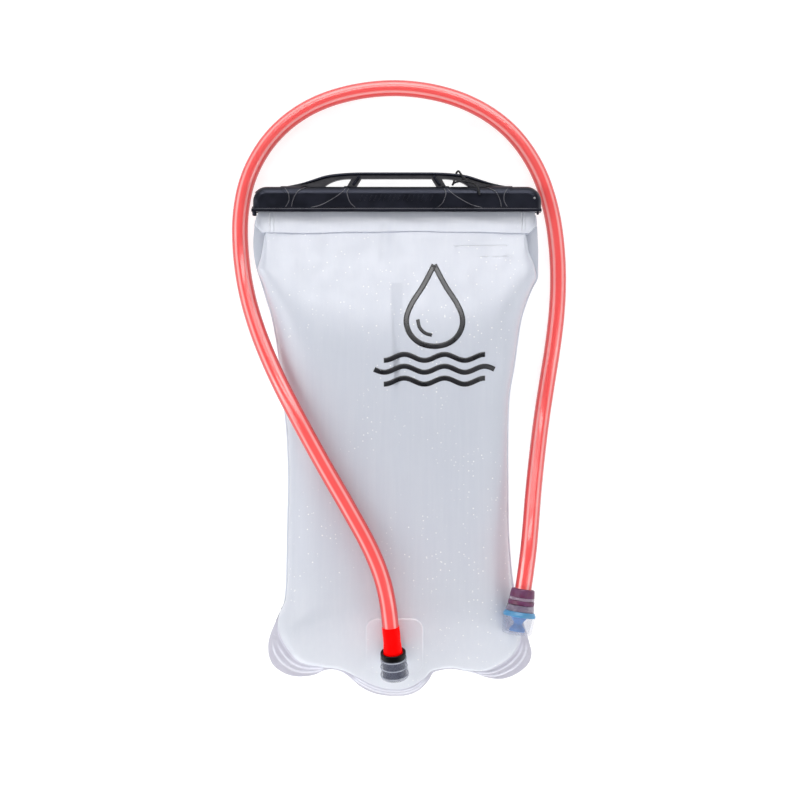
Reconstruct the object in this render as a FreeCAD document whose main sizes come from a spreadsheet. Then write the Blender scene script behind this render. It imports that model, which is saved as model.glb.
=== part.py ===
import FreeCAD, Part
import math
import os
import re
import Sketcher
from FreeCAD import Placement, Rotation, Vector

# A two-litre hydration bladder lying on its back: a welded film bag, a slide closure with
# a handle over the folded mouth, an outlet with a check valve, a drink tube and a bite valve.
# Frame: +X across the bag, +Y towards the closure, +Z up from the surface it lies on.
# The origin is under the middle of the bag and closure.  Lengths in mm, angles in degrees.

SIZES = {
    # Film bag.  The panels meet at the seam level, half way up the filled bag.
    "seam_level": 23.5,
    "seam_thick": 1.6,
    "crown_height": 23.5,
    "mouth_start": 126.0,
    "mouth_half_thick": 5.0,
    "film_half_thick": 1.2,
    "mouth_end": 153.2,
    "mouth_width": 177.0,
    "rail_base": 146.4,
    "rail_depth": 6.0,
    "rail_thick": 3.2,
    "gusset_split": -113.0,
    "port_crest": -110.0,
    "port_slope": 22.0,
    "mouth_crest": 59.6,
    "mouth_slope": 15.0,
    # Slide closure, measured from its lower edge.
    "slider_base": 142.3,
    "slider_length": 185.0,
    "slider_depth": 16.1,
    "slider_half": 7.2,
    "lip_depth": 1.8,
    "lip_half": 7.8,
    "slot_half": 2.0,
    "cavity_low": 3.3,
    "cavity_top": 12.3,
    "cavity_half": 5.2,
    "end_wall": 3.0,
    "slider_edge": 5.0,
    "slider_corner": 9.5,
    "lip_edge": 0.5,
    # Handle: an arch with three windows over the bar, and straps that clasp the bar.
    "handle_half": 2.6,
    "strap_skin": 0.5,
    "tether_radius": 0.65,
    "knot_radius": 1.9,
    # Outlet.  Heights along the outlet's axis, from the top face of the plug's collar.
    "flange_width": 36.6,
    "flange_top": 5.4,
    "flange_length": 48.6,
    "flange_thick": 1.6,
    "flange_corner": 7.0,
    "axis_height": 11.0,
    "collar_radius": 8.0,
    "collar_thick": 3.7,
    "neck_radius": 4.4,
    "body_top": 3.9,
    "body_end": 18.3,
    "body_top_radius": 8.0,
    "body_end_radius": 8.8,
    "rib_proud": 0.3,
    "rib_width": 1.0,
    "rib_pitch": 5.6,
    "bore_radius": 5.85,
    "seat_top": 9.6,
    "seat_bottom": 10.6,
    "seat_radius": 5.8,
    "seat_hole": 2.6,
    "chamber_radius": 4.6,
    "chamber_end": 16.9,
    "groove_radius": 6.6,
    "groove_top": 7.5,
    "groove_bottom": 8.4,
    "latch_inner": 5.35,
    "latch_outer": 6.5,
    "latch_top": 7.6,
    "latch_bottom": 8.3,
    "latch_gap": 3.0,
    "pedestal_half": 6.0,
    "pedestal_top": 7.0,
    "pedestal_end": 17.5,
    "nose_radius": 5.2,
    "nose_end": 9.0,
    "push_bar_width": 1.2,
    "push_bar_thick": 1.0,
    "passage_radius": 2.2,
    "oring_seat_radius": 4.2,
    "oring_seat_top": 4.9,
    "oring_seat_end": 6.5,
    "oring_ring_radius": 4.95,
    "oring_wire": 0.75,
    "oring_middle": 5.7,
    "poppet_radius": 4.2,
    "poppet_top": 12.4,
    "poppet_bottom": 13.4,
    "stem_radius": 1.0,
    "stem_tip": 9.05,
    "spring_radius": 3.2,
    "spring_wire": 0.3,
    "spring_turns": 3.0,
    "spring_height": 2.8,
    # Drink tube and the barbs inside its ends.
    "tube_radius": 5.25,
    "tube_bore": 3.2,
    "barb_length": 10.0,
    "barb_ridge": 3.45,
    "barb_tip": 2.9,
    # Bite valve.  Heights along its axis, from the tube's end face.
    "cuff_top_radius": 7.3,
    "cuff_radius": 8.0,
    "cuff_rounding": 1.2,
    "cuff_end": 5.4,
    "band_end": 7.4,
    "band_radius": 7.9,
    "band_bore": 6.2,
    "ledge_end": 10.2,
    "ledge_radius": 8.4,
    "spigot_radius": 4.5,
    "spigot_end": 15.8,
    "spigot_seat_radius": 3.7,
    "spigot_seat_top": 12.2,
    "spigot_seat_end": 13.8,
    "stem_oring_wire": 0.7,
    "stem_oring_ring": 4.4,
    "hub_start": 10.4,
    "hub_end": 14.4,
    "hub_top_radius": 8.6,
    "hub_end_radius": 8.9,
    "hub_bore": 5.15,
    "ring_end": 17.6,
    "ring_top_radius": 9.6,
    "ring_radius": 10.3,
    "core_waist_radius": 2.75,
    "core_end_radius": 5.2,
    "core_waist": 22.2,
    "core_end": 27.2,
    "core_bore": 1.5,
    "sheath_radius": 10.3,
    "sheath_end_radius": 9.3,
    "sheath_end": 29.1,
    "sheath_wall": 1.6,
    "sheath_rounding": 2.0,
    "slit_half": 0.4,
    "slit_reach": 5.0,
}

# Edge of the welded film, right half, from the mouth down to the middle of the bottom lobe.
FILM_EDGE = [
    (91.5, 126), (91.5, 112), (89, 101), (84.5, 87), (79.5, 70), (75.5, 46), (72, 12),
    (70.6, -31), (71.2, -67), (72.8, -95), (76.5, -113), (82, -126), (84.3, -138),
    (81, -149), (73.5, -154.2), (62.5, -155.5), (52, -153), (43, -150), (36, -150.5),
    (29, -153), (24, -158.5), (14, -165.5), (0, -167.4),
]

# Edge of the inflated part of a panel, right half, inside the weld flange.
PANEL_EDGE = [
    (84.5, 126), (86.5, 112), (87.5, 103), (83.5, 87), (78.5, 70), (74.5, 46), (71, 12),
    (69.6, -31), (70.2, -67), (71.5, -95), (74.5, -113), (77, -124), (74, -135),
    (67, -143.5), (57, -148.5), (45, -149), (34, -149.3), (25, -153.5), (13, -159.5),
    (0, -161.5),
]

# The pillow's layers: height over the seam as a part of the crown, and how far it draws in.
PILLOW_LAYERS = [(0.0, 0.0), (0.52, 4.0), (0.82, 11.0), (1.0, 24.0)]
PILLOW_MIDDLE = -12.0
PILLOW_HALF_WIDTH = 80.0
PILLOW_HALF_LENGTH = 145.0
GUSSET_DEPTH = 12.0

# Upper edge of the handle's right foot, and the outlines of its right side window and straps.
HANDLE_FOOT = [(25, 167.4), (34.9, 166.9), (44.7, 165.6), (54.5, 162.6), (64, 160), (74, 158.4)]
MIDDLE_WINDOW = [(25.6, 158.4), (22.4, 163.5)]
SIDE_WINDOW = [(28.9, 163.4), (31.8, 158.4), (46, 158.4), (40.5, 161.6), (34.5, 163.1)]
FOOT_STRAP = [
    [(74, 158.9), (72.4, 155.6), (68.2, 151.6), (69.2, 148), (71.4, 145)],
    [(66.9, 145), (66.1, 149.5), (63.4, 154.6), (57.3, 158.9)],
]
STRUT_STRAP = [
    [(25.8, 145), (29.6, 148.9), (31.2, 152.8), (31.2, 156), (29.2, 158.9)],
    [(33.2, 158.9), (35.6, 155.6), (41.4, 150.8), (47.9, 147.3), (54.5, 145)],
]

# The drink tube: from the plug's collar up over the bag, down its left side, round in a loop
# on the surface above the closure, back on the right and up to the bite valve.
TUBE_ROUTE = [
    (-2.2, -136.47, 48.17), (-3.67, -117.05, 56.02), (-7, -94.5, 58.6), (-15, -73, 56.2),
    (-28.5, -48.5, 54.2), (-46.3, -18, 53.4), (-63.3, 13, 51.8), (-76.7, 38.5, 43),
    (-88.3, 64.5, 28.5), (-96.8, 90.5, 14), (-101.2, 117, 6.4), (-101.6, 144, 5.3),
    (-95.5, 170.6, 5.3), (-79.7, 195.5, 5.3), (-55.5, 213.6, 5.3), (-24.3, 223.2, 5.3),
    (9.6, 224.8, 5.3), (43.8, 217, 5.3), (72.2, 199.6, 5.3), (90.8, 174.6, 5.3),
    (100.6, 146.3, 5.3), (104.6, 115.8, 5.3), (104.7, 86.7, 5.3), (101.6, 58.5, 5.3),
    (97.4, 33, 5.3), (93.7, 10, 8.4), (90.3, -13, 18.2), (87.2, -36, 30), (84.9, -58, 41.5),
    (82.8, -77.52, 47.4), (79.9, -96.8, 47.4),
]

# The tether cord: from its knot up over the handle's arch, down behind it, back through the
# right side window to the knot, and a short tail down the front of the bar.
TETHER_ROUTE = [
    (43.8, 163.2, 28.9), (41.2, 166, 28), (39.9, 168.6, 25.4), (38.8, 168.6, 21.7),
    (37.8, 166, 19.1), (36.9, 162.4, 19.1), (36, 159.9, 21.6), (35.8, 160, 25.4),
    (37.4, 161, 29), (41.2, 161.6, 30.9), (45.4, 161.4, 30.6), (49.4, 160, 31.4),
    (52.3, 157, 32.6), (52.9, 152.8, 32.7),
]
ARC_SHARE = 0.45


doc = FreeCAD.newDocument("HydrationBladder")
sheet = doc.addObject("Spreadsheet::Sheet", "Sizes")
for row, (alias, value) in enumerate(SIZES.items(), start=1):
    sheet.set(f"A{row}", alias)
    sheet.set(f"B{row}", str(value))
    sheet.setAlias(f"B{row}", alias)
doc.recompute()
NODES = []


def linked(text):
    """Point every alias in an expression at the sheet."""
    return re.sub(r"\b[a-z]\w+", r"Sizes.\g<0>", text)


def read(text):
    """The value of an expression of aliases."""
    value = sheet.evalExpression(linked(text))
    return float(value.Value if hasattr(value, "Value") else value)


# ---------------------------------------------------------------- PartDesign helpers

def new_body(label):
    """A body for one node."""
    body = doc.addObject("PartDesign::Body", label)
    body.Label = label
    NODES.append(body)
    doc.recompute()
    return body


def new_sketch(body, role):
    """A sketch on one of the body's own origin planes."""
    sketch = body.newObject("Sketcher::SketchObject", body.Label + "_sketch")
    plane = [item for item in body.Origin.OriginFeatures if item.Role == role][0]
    sketch.AttachmentSupport = [(plane, "")]
    sketch.MapMode = "FlatFace"
    return sketch


def draw(sketch, corners):
    """Close an outline through the corners, each placed by two expressions of the sheet."""
    spots = [Vector(read(across), read(along), 0) for across, along in corners]
    first = sketch.GeometryCount
    count = len(corners)
    for index, spot in enumerate(spots):
        sketch.addGeometry(Part.LineSegment(spot, spots[(index + 1) % count]))
    for index, corner in enumerate(corners):
        line = first + index
        follower = first + (index + 1) % count
        sketch.addConstraint(Sketcher.Constraint("Coincident", line, 2, follower, 1))
        for kind, text in zip(("DistanceX", "DistanceY"), corner):
            number = sketch.addConstraint(
                Sketcher.Constraint(kind, -1, 1, line, 1, read(text)))
            sketch.setExpression(f"Constraints[{number}]", linked(text))


def turn(body, corners, cut=False):
    """Revolve a profile of (radius, height) corners about the body's Z axis."""
    sketch = new_sketch(body, "XZ_Plane")
    draw(sketch, corners)
    kind = "PartDesign::Groove" if cut else "PartDesign::Revolution"
    feature = body.newObject(kind, body.Label + "_turned")
    feature.Profile = sketch
    feature.ReferenceAxis = (sketch, ["V_Axis"])
    feature.Angle = 360
    doc.recompute()
    return feature


def extend(body, role, corners, length, side="Symmetric", back=False, cut=False, shift=None):
    """Pad or pocket an outline on an origin plane by a length of the sheet."""
    sketch = new_sketch(body, role)
    if shift is not None:
        sketch.setExpression("AttachmentOffset.Base.z", linked(shift))
    draw(sketch, corners)
    kind = "PartDesign::Pocket" if cut else "PartDesign::Pad"
    feature = body.newObject(kind, body.Label + ("_cut" if cut else "_pad"))
    feature.Profile = sketch
    feature.SideType = side
    feature.Reversed = back
    feature.setExpression("Length", linked(length))
    doc.recompute()
    return feature


def round_edges(body, feature, wanted, radius, kind="PartDesign::Fillet"):
    """Round or bevel the edges of a feature that a test picks."""
    names = [f"Edge{number}" for number, edge in enumerate(feature.Shape.Edges, start=1)
             if wanted(edge)]
    rounding = body.newObject(kind, body.Label + "_edges")
    rounding.Base = (feature, names)
    rounding.setExpression("Radius" if kind.endswith("Fillet") else "Size", linked(radius))
    doc.recompute()
    return rounding


def circle_at(edge, radius, height):
    """Whether an edge is the circle of this radius at this height on the Z axis."""
    curve = edge.Curve
    return (isinstance(curve, Part.Circle) and abs(curve.Radius - radius) < 0.01
            and abs(curve.Center.z - height) < 0.01)


def new_feature(label, shape, placement=Placement()):
    """A node whose free-form shape comes from Part's own functions."""
    feature = doc.addObject("Part::Feature", label)
    feature.Label = label
    feature.Shape = shape
    feature.Placement = placement * shape.Placement
    NODES.append(feature)
    return feature


def frame_along(start, finish, down):
    """A placement at start whose Z runs to finish and whose Y leans towards down."""
    ahead = (finish - start).normalize()
    side = down.cross(ahead).normalize()
    return Placement(start, Rotation(side, ahead.cross(side), ahead, "ZXY"))


# ---------------------------------------------------------------- film bag

def both_halves(half):
    """The whole outline of a symmetric shape from the points of its right half."""
    return half + [(-across, along) for across, along in reversed(half) if across > 0]


def drawn_in(half, inset, level):
    """A closed outline at a level, drawn in towards the middle of the pillow."""
    narrow = 1 - inset / PILLOW_HALF_WIDTH
    shorten = 1 - inset / PILLOW_HALF_LENGTH
    points = [Vector(across * narrow, PILLOW_MIDDLE + (along - PILLOW_MIDDLE) * shorten, level)
              for across, along in both_halves(half)]
    return Part.makePolygon(points + points[:1])


def slope_cutter(crest, angle, size):
    """A block above a plane that falls from the pillow's crest at an angle."""
    top = read("seam_level + crown_height")
    reach = -size if angle > 0 else 0
    block = Part.makeBox(2 * size, size, size, Vector(-size, reach, 0))
    block.Placement = Placement(Vector(0, crest, top), Rotation(Vector(1, 0, 0), angle))
    return block


def make_panels():
    """Front and rear panels: one inflated pillow, split at the seam."""
    half_seam = read("seam_thick / 2")
    seam = read("seam_level")
    crown = read("crown_height")
    wires = [drawn_in(PANEL_EDGE, inset, seam + half_seam + share * (crown - half_seam))
             for share, inset in PILLOW_LAYERS]
    pillow = Part.makeLoft(wires, True, True)
    cutter_size = 150
    pillow = pillow.cut(slope_cutter(read("port_crest"), read("port_slope"), cutter_size))
    pillow = pillow.cut(slope_cutter(read("mouth_crest"), -read("mouth_slope"), cutter_size))
    new_feature("front_panel", pillow)
    new_feature("rear_panel", pillow.mirror(Vector(0, 0, seam), Vector(0, 0, 1)))


def make_gussets():
    """Gussets: film bands between the panels at the sides, and the lobed bottom flange."""
    low = read("seam_level - seam_thick / 2")
    thick = read("seam_thick")
    split = read("gusset_split")
    top = read("mouth_start")
    wide = 100
    rise = Vector(0, 0, thick)
    whole = Part.Face(drawn_in(FILM_EDGE, 0, low)).extrude(rise)
    inside = Part.Face(drawn_in(PANEL_EDGE, GUSSET_DEPTH, low)).extrude(rise)
    side_box = Part.makeBox(wide, top - split, thick, Vector(0, split, low))
    left_box = Part.makeBox(wide, top - split, thick, Vector(-wide, split, low))
    bottom_box = Part.makeBox(2 * wide, wide, thick, Vector(-wide, split - wide, low))
    mouth_box = Part.makeBox(2 * wide, wide, thick, Vector(-wide, top - GUSSET_DEPTH, low))
    band = whole.cut(inside)
    side_band = band.cut(mouth_box.common(inside_strip(low, thick)))
    new_feature("right_gusset", side_band.common(side_box))
    new_feature("left_gusset", side_band.common(left_box))
    new_feature("bottom_gusset", band.common(bottom_box))


def inside_strip(low, thick):
    """The strip between the two side gussets, open towards the mouth."""
    half = PANEL_EDGE[0][0] * (1 - GUSSET_DEPTH / PILLOW_HALF_WIDTH)
    return Part.makeBox(2 * half, 2 * half, thick, Vector(-half, 0, low))


def make_mouth():
    """The folded mouth, wedge-shaped below the closure and flat inside it, and its rails."""
    fold = new_body("mouth_fold")
    extend(fold, "YZ_Plane", [
        ("mouth_start", "-mouth_half_thick"), ("slider_base", "-film_half_thick"),
        ("mouth_end", "-film_half_thick"), ("mouth_end", "film_half_thick"),
        ("slider_base", "film_half_thick"), ("mouth_start", "mouth_half_thick"),
    ], "mouth_width")
    fold.setExpression("Placement.Base.z", linked("seam_level"))
    for label, sign in (("mouth_rail_front", ""), ("mouth_rail_rear", "-")):
        rail = new_body(label)
        near = f"{sign}film_half_thick"
        far = f"{sign}(film_half_thick + rail_thick)"
        bar = extend(rail, "YZ_Plane", [
            ("rail_base", near), ("rail_base + rail_depth", near),
            ("rail_base + rail_depth", far), ("rail_base", far),
        ], "mouth_width")
        outer = read(far)
        round_edges(rail, bar, lambda edge: edge.Length > 50 and
                    abs(edge.CenterOfMass.z - outer) < 0.01, "film_half_thick")
        rail.setExpression("Placement.Base.z", linked("seam_level"))


# ---------------------------------------------------------------- slide closure

def make_channel():
    """The closure's bar: a C-shaped channel, open at the left end and closed at the right."""
    bar = new_body("slider_channel")
    solid = extend(bar, "YZ_Plane", [
        ("0", "-lip_half"), ("lip_depth", "-lip_half"), ("lip_depth", "-slider_half"),
        ("slider_depth", "-slider_half"), ("slider_depth", "slider_half"),
        ("lip_depth", "slider_half"), ("lip_depth", "lip_half"), ("0", "lip_half"),
    ], "slider_length")
    depth = read("slider_depth")
    half = read("slider_half")
    corners = round_edges(bar, solid, lambda edge: abs(edge.CenterOfMass.y - depth) < 0.01 and
                          abs(edge.Length - 2 * half) < 0.01, "slider_corner")
    rounded = round_edges(bar, corners, lambda edge: edge.Length > 50 and
                          abs(edge.CenterOfMass.y - depth) < 0.01, "slider_edge")
    lips = round_edges(bar, rounded, lambda edge: edge.Length > 50 and
                       abs(abs(edge.CenterOfMass.z) - read("lip_half")) < 0.01, "lip_edge")
    before = lips.Shape.Volume
    cut = extend(bar, "YZ_Plane", [
        ("-end_wall", "-slot_half"), ("cavity_low", "-slot_half"),
        ("cavity_low", "-cavity_half"), ("cavity_top", "-cavity_half"),
        ("cavity_top", "cavity_half"), ("cavity_low", "cavity_half"),
        ("cavity_low", "slot_half"), ("-end_wall", "slot_half"),
    ], "slider_length", side="One side", back=True, cut=True,
        shift="-slider_length / 2 - end_wall")
    print(f"slider_channel: {before:.0f} mm3 solid, {cut.Shape.Volume:.0f} mm3 with its channel")
    bar.setExpression("Placement.Base.y", linked("slider_base"))
    bar.setExpression("Placement.Base.z", linked("seam_level"))


def bar_section(grow):
    """The bar's rounded section above its lip, grown outwards by a skin."""
    bottom = read("slider_base + lip_depth")
    top = read("slider_base + slider_depth") + grow
    half = read("slider_half") + grow
    radius = read("slider_edge") + grow
    level = read("seam_level")
    lean = radius * (1 - math.sqrt(0.5))

    def spot(along, height):
        return Vector(0, along, level + height)

    right_arc = Part.Arc(spot(top - radius, half), spot(top - lean, half - lean),
                         spot(top, half - radius))
    left_arc = Part.Arc(spot(top, radius - half), spot(top - lean, lean - half),
                        spot(top - radius, -half))
    edges = [
        Part.LineSegment(spot(bottom, -half), spot(bottom, half)),
        Part.LineSegment(spot(bottom, half), spot(top - radius, half)), right_arc,
        Part.LineSegment(spot(top, half - radius), spot(top, radius - half)), left_arc,
        Part.LineSegment(spot(top - radius, -half), spot(bottom, -half)),
    ]
    return Part.Face(Part.Wire([edge.toShape() for edge in edges]))


def plan_curve(points, level):
    """A smooth plan curve through the points at a level."""
    curve = Part.BSplineCurve()
    curve.interpolate([Vector(across, along, level) for across, along in points])
    return curve.toShape()


def plan_line(first, last, level):
    """A straight plan edge at a level."""
    return Part.LineSegment(Vector(*first, level), Vector(*last, level)).toShape()


def plan_block(edges, height):
    """A block over a closed plan outline."""
    return Part.Face(Part.Wire(Part.__sortEdges__(edges))).extrude(Vector(0, 0, height))


def mirrored(shape):
    """The same shape on the other side of the middle plane."""
    return shape.mirror(Vector(0, 0, 0), Vector(1, 0, 0))


def make_handle():
    """The handle: an arch with windows, on straps that clasp the front and back of the bar."""
    seam = read("seam_level")
    half = read("handle_half")
    low = seam - half
    left_foot = [(-across, along) for across, along in HANDLE_FOOT]
    arch = plan_block([
        plan_curve(HANDLE_FOOT, low), plan_curve(left_foot, low),
        plan_line(left_foot[0], HANDLE_FOOT[0], low),
        plan_line(left_foot[-1], HANDLE_FOOT[-1], low),
    ], 2 * half)
    ring = both_halves(MIDDLE_WINDOW)
    edges = [plan_line(first, last, low) for first, last in zip(ring, ring[1:] + ring[:1])]
    arch = arch.cut(plan_block(edges, 2 * half))
    lens = [plan_line(SIDE_WINDOW[0], SIDE_WINDOW[1], low),
            plan_line(SIDE_WINDOW[1], SIDE_WINDOW[2], low),
            plan_curve(SIDE_WINDOW[2:] + SIDE_WINDOW[:1], low)]
    side_window = plan_block(lens, 2 * half)
    arch = arch.cut(side_window).cut(mirrored(side_window))

    reach = read("lip_half + strap_skin")
    plans = []
    for first_side, second_side in (FOOT_STRAP, STRUT_STRAP):
        edges = [plan_curve(first_side, seam - reach), plan_curve(second_side, seam - reach),
                 plan_line(first_side[-1], second_side[0], seam - reach),
                 plan_line(second_side[-1], first_side[0], seam - reach)]
        plans.append(plan_block(edges, 2 * reach))
    straps = plans[0].fuse([plans[1], mirrored(plans[0]), mirrored(plans[1])])
    run = Vector(read("slider_length"), 0, 0)
    back = Vector(-read("slider_length / 2"), 0, 0)
    skin = bar_section(read("strap_skin")).extrude(run)
    core = bar_section(0).extrude(run)
    skin.translate(back)
    core.translate(back)
    handle = arch.cut(core).fuse(straps.common(skin).cut(core)).removeSplitter()
    new_feature("slider_handle", handle)


# ---------------------------------------------------------------- cords

def rounded_route(points, label):
    """A wire of straight runs and tangent arcs, each as large as its two runs allow."""
    spots = [Vector(*point) for point in points]
    edges = []
    radii = []
    here = spots[0]
    for before, corner, after in zip(spots, spots[1:], spots[2:]):
        back = before - corner
        ahead = after - corner
        trim = ARC_SHARE * min(back.Length, ahead.Length)
        half_turn = (math.pi - back.getAngle(ahead)) / 2
        radius = trim / math.tan(half_turn)
        back.normalize()
        ahead.normalize()
        start = corner + back * trim
        finish = corner + ahead * trim
        inward = (back + ahead).normalize()
        middle = corner + inward * (radius / math.cos(half_turn) - radius)
        edges.append(Part.LineSegment(here, start).toShape())
        edges.append(Part.Arc(start, middle, finish).toShape())
        radii.append(radius)
        here = finish
    edges.append(Part.LineSegment(here, spots[-1]).toShape())
    print(f"{label}: arc radii " + " ".join(f"{radius:.0f}" for radius in radii))
    return Part.Wire(edges)


def swept(path, outer, bore=0.0):
    """A round cord or tube along a path that starts with a straight run."""
    start = path.Edges[0]
    first = start.valueAt(start.FirstParameter)
    ahead = start.tangentAt(start.FirstParameter)

    def pipe(radius):
        ring = Part.Wire([Part.makeCircle(radius, first, ahead)])
        return path.makePipeShell([ring], True, True)

    solid = pipe(outer)
    if bore:
        solid = solid.cut(pipe(bore))
    return solid


def check_sweep(label, solid, path, outer, bore=0.0):
    """Compare a sweep's volume with its section times its length."""
    section = math.pi * (outer ** 2 - bore ** 2)
    print(f"{label}: length {path.Length:.1f} mm, volume {solid.Volume:.0f} mm3, "
          f"section x length {section * path.Length:.0f} mm3")


def make_tube():
    """The drink tube."""
    outer = read("tube_radius")
    bore = read("tube_bore")
    path = rounded_route(TUBE_ROUTE, "drink_tube")
    tube = swept(path, outer, bore)
    check_sweep("drink_tube", tube, path, outer, bore)
    new_feature("drink_tube", tube)


def make_tether():
    """The tether cord round the handle, and its knot in front."""
    radius = read("tether_radius")
    path = rounded_route(TETHER_ROUTE, "tether_cord")
    cord = swept(path, radius)
    check_sweep("tether_cord", cord, path, radius)
    knot_spot = (Vector(*TETHER_ROUTE[0]) + Vector(*TETHER_ROUTE[10])) * 0.5
    knot = Part.makeSphere(read("knot_radius"), knot_spot)
    new_feature("tether_cord", cord.cut(knot))
    new_feature("tether_knot", knot)


# ---------------------------------------------------------------- outlet and plug

def slope_frame():
    """On the crest over the outlet: Y up the slope and Z out of the bag."""
    top = read("seam_level + crown_height")
    return Placement(Vector(TUBE_ROUTE[0][0], read("port_crest"), top),
                     Rotation(Vector(1, 0, 0), read("port_slope")))


def outlet_frame():
    """Z along the plug towards the tube, Y into the bag."""
    into_bag = slope_frame().Rotation.multVec(Vector(0, 0, -1))
    return frame_along(Vector(*TUBE_ROUTE[0]), Vector(*TUBE_ROUTE[1]), into_bag)


def make_flange():
    """The weld flange on the sloping bottom of the front panel."""
    flange = new_body("port_flange")
    half = "flange_width / 2"
    low = "-flange_top - flange_length"
    plate = extend(flange, "XY_Plane", [
        ("-" + half, low), (half, low), (half, "-flange_top"), ("-" + half, "-flange_top"),
    ], "flange_thick", side="One side")
    thick = read("flange_thick")
    round_edges(flange, plate, lambda edge: abs(edge.Length - thick) < 0.01, "flange_corner")
    flange.Placement = slope_frame()


def make_port_body():
    """The ribbed socket on its pedestal, with the bore for the plug and the valve chamber."""
    body = new_body("port_body")
    profile = [("0", "-body_top"), ("body_top_radius + rib_proud", "-body_top")]
    taper = "(body_end_radius - body_top_radius) / (body_end - body_top)"
    for rib in range(3):
        rib_top = f"{rib} * rib_pitch"
        rib_end = f"({rib_top} + rib_width)"
        valley = f"body_top_radius + {taper} * {rib_end}"
        if rib:
            before = f"body_top_radius + {taper} * {rib_top}"
            profile.append((before, f"-body_top - {rib_top}"))
            profile.append((before + " + rib_proud", f"-body_top - {rib_top}"))
        profile.append((valley + " + rib_proud", f"-body_top - {rib_end}"))
        profile.append((valley, f"-body_top - {rib_end}"))
    profile += [("body_end_radius", "-body_end"), ("0", "-body_end")]
    turn(body, profile)
    pad = extend(body, "XZ_Plane", [
        ("-pedestal_half", "-pedestal_end"), ("pedestal_half", "-pedestal_end"),
        ("pedestal_half", "-pedestal_top"), ("-pedestal_half", "-pedestal_top"),
    ], "axis_height - flange_thick", side="One side", back=True)
    end_radius = read("body_end_radius")
    end_height = -read("body_end")
    rounded = round_edges(body, pad, lambda edge: circle_at(edge, end_radius, end_height),
                          "rib_width")
    before = rounded.Shape.Volume
    bored = turn(body, [
        ("0", "0"), ("bore_radius", "0"), ("bore_radius", "-groove_top"),
        ("groove_radius", "-groove_top"), ("groove_radius", "-groove_bottom"),
        ("bore_radius", "-groove_bottom"), ("bore_radius", "-seat_bottom"),
        ("chamber_radius", "-seat_bottom"), ("chamber_radius", "-chamber_end"),
        ("0", "-chamber_end"),
    ], cut=True)
    print(f"port_body: {before:.0f} mm3 solid, {bored.Shape.Volume:.0f} mm3 bored")
    body.Placement = outlet_frame()


def make_socket_pieces():
    """What sits inside the socket: latch ring, valve seat, poppet and spring."""
    latch = new_body("latch_ring")
    turn(latch, [
        ("latch_inner", "-latch_bottom"), ("latch_outer", "-latch_bottom"),
        ("latch_outer", "-latch_top"), ("latch_inner", "-latch_top"),
    ])
    extend(latch, "XZ_Plane", [
        ("-latch_gap / 2", "-groove_bottom"), ("latch_gap / 2", "-groove_bottom"),
        ("latch_gap / 2", "-groove_top"), ("-latch_gap / 2", "-groove_top"),
    ], "groove_radius", side="One side", cut=True)
    latch.Placement = outlet_frame()

    seat = new_body("valve_seat")
    turn(seat, [
        ("seat_hole", "-seat_bottom"), ("seat_radius", "-seat_bottom"),
        ("seat_radius", "-seat_top"), ("seat_hole", "-seat_top"),
    ])
    seat.Placement = outlet_frame()

    poppet = new_body("check_valve_poppet")
    turn(poppet, [
        ("0", "-poppet_bottom"), ("poppet_radius", "-poppet_bottom"),
        ("poppet_radius", "-poppet_top"), ("stem_radius", "-poppet_top"),
        ("stem_radius", "-stem_tip"), ("0", "-stem_tip"),
    ])
    poppet.Placement = outlet_frame()

    wire = read("spring_wire")
    height = read("spring_height")
    helix = Part.makeHelix(height / read("spring_turns"), height, read("spring_radius"))
    ring = Part.Wire([Part.makeCircle(wire, Vector(read("spring_radius"), 0, 0),
                                      Vector(0, 1, 0))])
    coil = Part.Wire(helix).makePipeShell([ring], True, True)
    foot = Placement(Vector(0, 0, wire - read("chamber_end")), Rotation())
    new_feature("check_spring", coil, outlet_frame() * foot)


def barb(start, sign):
    """Profile corners of a hose barb that runs from a face to its tip."""
    tip = f"{start}{sign}barb_length"
    middle = f"{start}{sign}barb_length * 0.6"
    return [("tube_bore", start), ("tube_bore", middle), ("barb_ridge", middle),
            ("barb_tip", tip)]


def make_plug():
    """The plug with the bar that lifts the poppet off its seat, its collar and its O-ring."""
    plug = new_body("plug_body")
    turn(plug, [
        ("passage_radius", "-nose_end"), ("nose_radius", "-nose_end"),
        ("nose_radius", "-oring_seat_end"), ("oring_seat_radius", "-oring_seat_end"),
        ("oring_seat_radius", "-oring_seat_top"), ("nose_radius", "-oring_seat_top"),
        ("nose_radius", "-collar_thick"), ("neck_radius", "-collar_thick"),
        ("neck_radius", "0"),
    ] + barb("0", " + ") + [("passage_radius", "barb_length")])
    extend(plug, "XZ_Plane", [
        ("-oring_seat_radius", "-nose_end"), ("oring_seat_radius", "-nose_end"),
        ("oring_seat_radius", "push_bar_thick - nose_end"),
        ("-oring_seat_radius", "push_bar_thick - nose_end"),
    ], "push_bar_width")
    plug.Placement = outlet_frame()

    collar = new_body("plug_collar")
    ring = turn(collar, [
        ("neck_radius", "-collar_thick"), ("collar_radius", "-collar_thick"),
        ("collar_radius", "0"), ("neck_radius", "0"),
    ])
    outer = read("collar_radius")
    round_edges(collar, ring, lambda edge: circle_at(edge, outer, 0), "rib_width")
    collar.Placement = outlet_frame()

    seal = Part.makeTorus(read("oring_ring_radius"), read("oring_wire"),
                          Vector(0, 0, -read("oring_middle")))
    new_feature("plug_oring", seal, outlet_frame())


# ---------------------------------------------------------------- bite valve

def valve_frame():
    """Z along the valve away from the tube, Y down."""
    last = Vector(*TUBE_ROUTE[-1])
    ahead = last - Vector(*TUBE_ROUTE[-2])
    return frame_along(last, last + ahead, Vector(0, 0, -1))


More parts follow.
